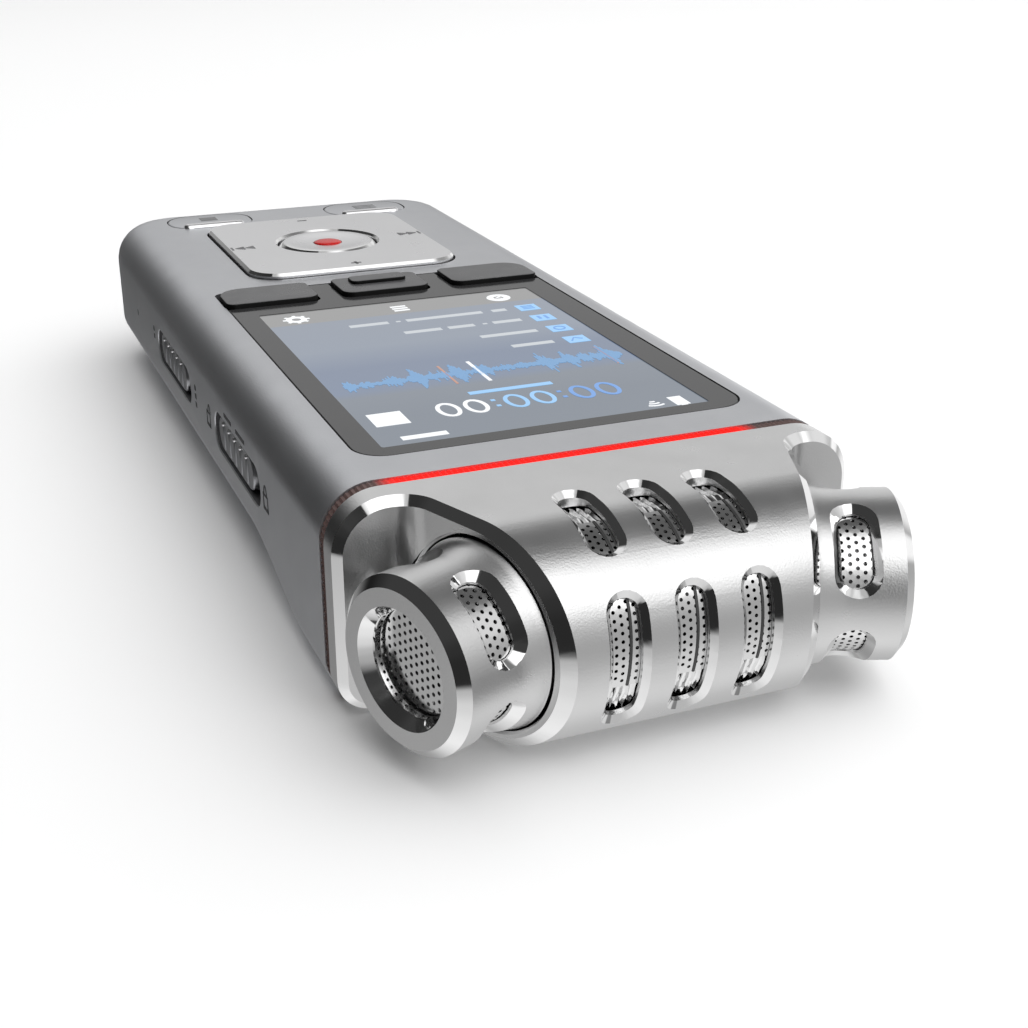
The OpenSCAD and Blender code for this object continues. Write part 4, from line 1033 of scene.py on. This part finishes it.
# -------------------- microphone cans
for s, tag in ((1, "right"), (-1, "left")):
    mt = can_matrix(s)
    prof = [(4.8, 0), (CAN_R - 0.82, 0), (CAN_R, -0.76), (CAN_R, -CAN_L + 2.6), (CAN_R + 0.06, -CAN_L + 2.0),
        (CAN_R + 0.18, -CAN_L + 1.3), (CAN_R + 0.34, -CAN_L + 0.6), (SEAT_R - 0.10, -CAN_L + 0.08),
        (SEAT_R, -CAN_L - 0.08),
            (SEAT_R, -CAN_L - 2.4), (6.25, -CAN_L - 2.4), (6.25, -1.15), (4.2, -1.15), (4.2, -0.95)]
    pm = [0, 1, 0, 0, 0, 0, 0, 0, 0, 3, 3, 3, 1, 1]
    can = bare("can", lathe(prof, pm, 120), HEAD, mt)
    cuts = []
    for k in range(4):
        phi = PI - s * math.radians(47 + 90 * k)
        rg = []
        for r, grow in ((5.6, 0), (CAN_R - 0.58, 0), (CAN_R + 0.25, 0.83)):
            o = obround(7.1 + 2 * grow, 2.5 + 2 * grow, 4.6 / 11.001, 10)
            rg.append([(r * math.cos(phi + a / CAN_R), r * math.sin(phi + a / CAN_R), -4.45 + t) for a, t in o])
        cuts.append(bare("slot", ladder(rg, [2, 1], 2, 1), HEAD, mt))
    combine(can, *cuts)
    can.name = "can_" + tag + "_shell"
    finish(can, 24, "case", ["can_" + tag])
    sheet_piece("sleeve_" + tag + "_mesh", sleeve, lambda x,
        y: (SLEEVE_R * math.cos(x / SLEEVE_R), SLEEVE_R * math.sin(x / SLEEVE_R), -2.15 - y), 0.15, mt,
        ["sleeve_" + tag])
    sheet_piece("end_disc_" + tag, disc, lambda x, y: (x, y, -1.74), 0.15, mt, ["end_mesh_" + tag])
    sheet_piece("end_wall_" + tag, wall, lambda x, y: ((DISC_R + 0.28 * y) * math.cos(x / DISC_R),
        (DISC_R + 0.28 * y) * math.sin(x / DISC_R), -1.84 + 0.72 * y), 0.12, mt, ())

# -------------------- studio
FLOOR_SIZE = 6.0
bm = bmesh.new()
bmesh.ops.create_grid(bm, x_segments=8, y_segments=8, size=FLOOR_SIZE)
fme = bpy.data.meshes.new("floor")
bm.to_mesh(fme)
bm.free()
floor = bpy.data.objects.new("floor", fme)
scene.collection.objects.link(floor)
fm, _, b = new_material("floor_white")
b["Base Color"].default_value = (0.94, 0.94, 0.94, 1)
b["Roughness"].default_value = 0.9
b["Specular IOR Level"].default_value = 0.1
fme.materials.append(fm)

world = bpy.data.worlds.new("studio")
scene.world = world
world.use_nodes = True
wt = world.node_tree
bg = wt.nodes["Background"]
ray = add(wt, "ShaderNodeTexCoord").outputs["Generated"]


def heading(az, el):
    """Unit vector for an azimuth from -Y towards +X and an elevation, in degrees."""
    a, e = math.radians(az), math.radians(el)
    return Vector((math.sin(a) * math.cos(e), -math.cos(a) * math.cos(e), math.sin(e)))


def smooth(src, lo, hi):
    """0 below lo, 1 above hi, eased between."""
    return add(wt, "ShaderNodeMapRange", {"From Min": lo, "From Max": hi}, {"Value": src},
               interpolation_type="SMOOTHSTEP").outputs["Result"]


def lobe(az, el, inner, outer):
    """1 within inner degrees of a heading, falling to 0 at outer degrees."""
    q = add(wt, "ShaderNodeVectorMath", {1: heading(az, el)}, {0: ray}, operation="DOT_PRODUCT")
    return smooth(q.outputs["Value"], math.cos(math.radians(outer)), math.cos(math.radians(inner)))


def math2(op, *pair):
    """A maths node on two numbers or outputs."""
    m = add(wt, "ShaderNodeMath", operation=op)
    for i, q in enumerate(pair):
        if isinstance(q, (int, float)):
            m.inputs[i].default_value = q
        else:
            wt.links.new(q, m.inputs[i])
    return m.outputs[0]


def darken(light, mask, depth):
    """light times (1 - depth * mask)."""
    return math2("MULTIPLY", light, math2("SUBTRACT", 1.0, math2("MULTIPLY", mask, depth)))


sep = add(wt, "ShaderNodeSeparateXYZ", wires={"Vector": ray})
height = add(wt, "ShaderNodeMapRange", {"From Min": -1.0}, {"Value": sep.outputs["Z"]})
sky = add(wt, "ShaderNodeValToRGB", wires={"Fac": height.outputs["Result"]})
sky.color_ramp.interpolation = "EASE"
steps = ((-90, 0.95), (-55, 0.84), (-36, 0.72), (-20, 0.50), (-8, 0.42), (4, 0.42), (14, 0.56), (26, 0.80),
    (38, 0.80), (60, 0.55), (90, 0.50))
for k, (el, v) in enumerate(steps):
    pos = (math.sin(math.radians(el)) + 1) / 2
    inner_step = 0 < k < len(steps) - 1
    e = sky.color_ramp.elements.new(pos) if inner_step else sky.color_ramp.elements[k]
    e.position = pos
    e.color = (v, v, v, 1)
light = sky.outputs["Color"]
# brighter patches have a positive last number, darker ones a negative one
for az, el, inner, outer, much in ((-162, 52, 18, 34, 0.92), (-50, -8, 14, 30, 0.5), (-56, 56, 10, 34, -0.80),
                                   (-28, -56, 16, 48, -0.32), (-86, 3, 5, 10, 0.6), (24, -28, 22, 50, -0.52)):
    patch = lobe(az, el, inner, outer)
    light = math2("ADD", light, math2("MULTIPLY", patch, much)) if much > 0 else darken(light, patch, -much)

# the large dark card beside the head, cut off low down and by a bright window
low_edge = smooth(sep.outputs["Z"], math.sin(math.radians(-21)), math.sin(math.radians(-14)))
card = math2("MULTIPLY", math2("MULTIPLY", math2("MULTIPLY", lobe(100, 0, 76, 94), lobe(80, 0, 88, 92.5)), low_edge),
    math2("SUBTRACT", 1.0, lobe(-150, 66, 31, 33.5)))
light = darken(light, card, 0.945)
light = darken(light, lobe(-118, -20, 9, 18), 0.6)
wt.links.new(light, bg.inputs["Strength"])
bg.inputs["Color"].default_value = (1, 1, 1, 1)


def area(name, loc, size, power, target=(0, 0.02, 0)):
    d = bpy.data.lights.new(name, "AREA")
    d.shape = "RECTANGLE"
    d.size, d.size_y = size
    d.energy = power
    o = bpy.data.objects.new(name, d)
    scene.collection.objects.link(o)
    o.location = loc
    o.rotation_euler = (Vector(target) - Vector(loc)).to_track_quat("-Z", "Y").to_euler()
    o.visible_glossy = False


area("soft_top", (-0.35, 0.10, 1.1), (2.0, 2.0), 17.0)
floor.visible_glossy = False

# -------------------- end
bpy.context.view_layer.update()
